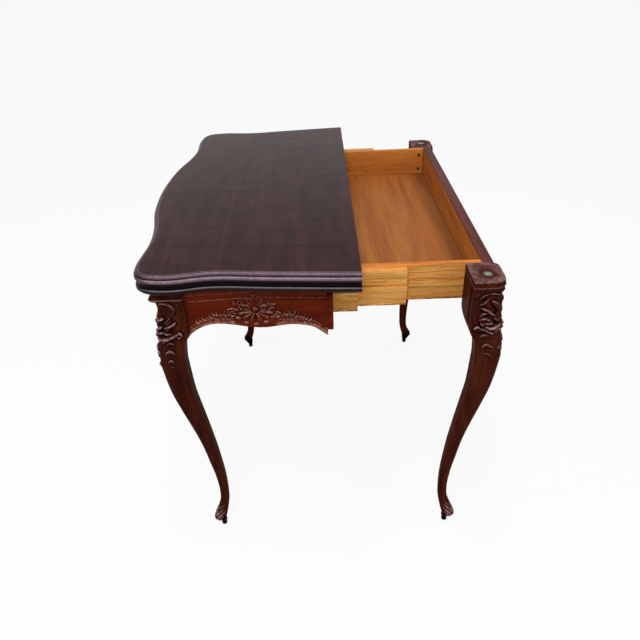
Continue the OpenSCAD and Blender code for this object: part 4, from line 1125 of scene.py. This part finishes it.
def apron_face(s, z, low, half, carving, shell_s):
    """Height of an apron's face at distances s from its middle: carving, rim and lines. Also
    its marks for painted light and wax, with a painted highlight all along the rim's crest."""
    above = z - low
    beside = rising(np.abs(s - shell_s), SHELL_HALF, 8)
    carved = carve(s, z, carving)
    height = np.maximum(carved, rim(above) * beside)
    height = np.where(carved > 0.3, height, np.maximum(height, face_lines(s, z, half, low)))
    height = height * rising(above, -0.35, 1.4)
    # Painted highlight along the rim's crest and its thin line
    painted_highlight = (0.46 * np.exp(-((above - 4.5) / 2.2) ** 2)
              + 0.2 * np.exp(-((above - LINE_AT) / 1.2) ** 2))
    return height, light_and_wax_marks(height, z, tall=1.6, wax_and_shade=0.15, shine=1.2) + beside * painted_highlight


def make_side_aprons():
    y = np.linspace(SIDE_LOW - SIDE_ROOT, SIDE_HIGH, 330)
    low = at(y, *np.array(SIDE_EDGE).T)[None, :]
    z = low + np.linspace(0, 1, 124)[:, None] * (LEG_H - low)
    s = np.broadcast_to(y - SIDE_MIDDLE, z.shape)
    half = (SIDE_HIGH - SIDE_LOW) / 2
    height, relief = apron_face(s, z, low, half, SIDE_CARVING, SIDE_SHELL)
    bow = SIDE_HOLLOW * np.cos(np.clip(s / half, -1, 1) * math.pi / 2) ** 2
    face = np.column_stack([(SIDE_X - bow + height).ravel(),
                            (s + SIDE_MIDDLE + HINGE_Y).ravel(), z.ravel()])
    around = border(*z.shape)
    back = face[around]
    back[:, X] = SIDE_X - SIDE_T
    first, count = len(face), len(around)
    sides = [(around[i], around[(i + 1) % count], first + (i + 1) % count, first + i)
             for i in range(count)]
    tongue, tongue_faces = slab(TONGUE_LOW, TONGUE_HIGH, 1.0)
    tongue[:, Y] += HINGE_Y
    faces = (net(*z.shape) + sides + [tuple(range(first, first + count))]
             + [tuple(first + count + i for i in f) for f in tongue_faces])
    right = piece("right_apron_carved", np.vstack([face, back, tongue]), faces, APRONS,
                  "carcase", "carved_mahogany", "right_apron",
                  relief=np.append(relief.ravel(), np.full(count + len(tongue), PLAIN)))
    left_twin(right, "left_apron_carved", "carcase", "left_apron")


def slab(low, high, soft):
    """Points and faces of a block with softened edges."""
    work = bmesh.new()
    for v in bmesh.ops.create_cube(work, size=1.0)["verts"]:
        for k in (X, Y, Z):
            v.co[k] = low[k] if v.co[k] < 0 else high[k]
    bmesh.ops.bevel(work, geom=work.edges[:], offset=soft, segments=2, profile=0.5,
                    affect="EDGES")
    work.verts.index_update()
    points = np.array([tuple(v.co) for v in work.verts])
    faces = [tuple(v.index for v in f.verts) for f in work.faces]
    work.free()
    return points, faces


def make_front_apron():
    s = np.linspace(-FRONT_HALF, FRONT_HALF, 540)
    low = LEG_H - at(np.abs(s) / FRONT_HALF, *np.array(FRONT_DROP).T)[None, :]
    z = low + np.linspace(0, 1, 90)[:, None] * (LEG_H - low)
    s = np.broadcast_to(s, z.shape)
    front_edge = EDGE[EDGE[:, Y] < FRONT_Y]
    ground = np.interp(np.abs(s), front_edge[:, X], front_edge[:, Y]) + FRONT_SET + HINGE_Y
    height, relief = apron_face(s, z, low, FRONT_HALF, front_carving(), 0.0)
    face = np.column_stack([s.ravel(), (ground - height).ravel(), z.ravel()])
    back = face.copy()
    back[:, Y] = ground.ravel() + FRONT_T
    around = border(*z.shape)
    first, count = len(face), len(around)
    sides = [(around[i], around[(i + 1) % count], first + around[(i + 1) % count],
              first + around[i]) for i in range(count)]
    faces = net(*z.shape) + net(*z.shape, start=first) + sides
    piece("front_apron_carved", np.vstack([face, back]), faces, FRONT_APRON, "carcase",
          "carved_mahogany", "front_apron",
          relief=np.append(relief.ravel(), np.full(first, PLAIN)))


make_side_aprons()
make_front_apron()


# CAD boards and fittings that keep their own shape

FINISHES = [
    (RAILS, "cross_rail", "glue_blocks"), (BACK_RAIL, "back_rail"),
    (SLIDES_1, "left_fixed_rail", "right_fixed_rail", "left_slide_1", "right_slide_1"),
    (SLIDES_2, "left_slide_2", "right_slide_2"), (LEFT_SIDE_SHADED, "left_box_side"),
    (RIGHT_SIDE_LIT, "right_box_side"), (LINING, "box_front", "rail_lining"),
    (BOX_FLOOR, "box_floor"), (PEGS, "front_feet", "back_feet"),
    (BAIZE, "fixed_baize", "folding_baize"), (STEEL, "rest_studs", "hinge_pins"),
    (CUPS, "stud_cups"), (SCREWS, "box_screws", "leaf_screws", "rail_screws"),
    (BRASS, "fixed_hinge_plates", "folding_hinge_plates", "fixed_hinge_screws",
     "folding_hinge_screws"),
]
SOFT_BOARDS = ("cross_rail", "left_fixed_rail", "right_fixed_rail", "left_slide_1",
               "right_slide_1", "left_slide_2", "right_slide_2", "box_front", "rail_lining",
               "back_rail")


def finish_cad():
    """Gives each CAD node its material, and the boards that show an edge a soft arris."""
    for material, *names in FINISHES:
        for name in names:
            cad[name].data.materials.clear()
            cad[name].data.materials.append(material)
    for name in SOFT_BOARDS:
        weld = cad[name].modifiers.new("joined", "WELD")
        weld.merge_threshold = 0.01 * MM
        arris = cad[name].modifiers.new("soft_arris", "BEVEL")
        arris.width = 0.7 * MM
        arris.segments = 2
        arris.limit_method = "ANGLE"
        arris.angle_limit = math.radians(50)


finish_cad()


# Studio: pale floor, soft lamps above and a plain bright room

def shown(tree):
    """1 where a ray shows the background: to the camera, in gloss and through glass."""
    path = tree.nodes.new("ShaderNodeLightPath").outputs
    seen = path["Is Camera Ray"]
    for ray in ("Is Glossy Ray", "Is Transmission Ray"):
        seen = add(tree, "Math", {0: seen, 1: path[ray]}, operation="MAXIMUM")
    return seen


def make_floor():
    """Nearly white where it shows, and a plain pale floor for the shadow and for the light
    that it throws back."""
    material = bpy.data.materials.new("pale_floor")
    material.use_nodes = True
    tree = material.node_tree
    tree.nodes.clear()
    share = add(tree, "Math", {0: shown(tree), 1: 0.9}, operation="MULTIPLY")
    plain = add(tree, "BsdfDiffuse", {"Color": "f2f1ef"})
    white = add(tree, "Emission", {"Color": "ffffff", "Strength": 1.0})
    both = add(tree, "MixShader", {0: share, 1: plain, 2: white})
    feed(tree, tree.nodes.new("ShaderNodeOutputMaterial"), {"Surface": both})
    mesh = bpy.data.meshes.new("floor")
    mesh.from_pydata([(-30, -30, 0), (30, -30, 0), (30, 30, 0), (-30, 30, 0)], [],
                     [(0, 1, 2, 3)])
    mesh.materials.append(material)
    put_in_scene("floor", mesh)


def make_room():
    """White where it shows, and a dimmer even light from all round."""
    world = bpy.data.worlds.new("room")
    bpy.context.scene.world = world
    world.use_nodes = True
    tree = world.node_tree
    tree.nodes.clear()
    room = add(tree, "Background", {"Color": "ffffff", "Strength": 0.42})
    white = add(tree, "Background", {"Color": "ffffff", "Strength": 1.0})
    both = add(tree, "MixShader", {0: shown(tree), 1: room, 2: white})
    feed(tree, tree.nodes.new("ShaderNodeOutputWorld"), {"Surface": both})


def lamp(name, size, spot, target, power):
    """Soft lamp of a size in metres, aimed from a spot at a target, with its power in W."""
    data = bpy.data.lights.new(name, "AREA")
    data.shape = "RECTANGLE"
    data.size, data.size_y = size
    data.energy = power
    made = put_in_scene(name, data)
    made.location = spot
    made.rotation_euler = (Vector(target) - Vector(spot)).to_track_quat("-Z", "Y").to_euler()


make_floor()
make_room()
lamp("skylight", (0.3, 2.4), spot=(1.0, -0.2, 2.9), target=(0.1, 0, 0.6), power=46)
lamp("window_left", (0.5, 0.8), spot=(0.9, -2.2, 2.2), target=(0, -0.2, 0.6), power=14)
lamp("window_right", (0.4, 0.8), spot=(1.7, 2.0, 1.7), target=(0.3, 0, 0.5), power=9)
bpy.context.scene.view_settings.view_transform = "Standard"
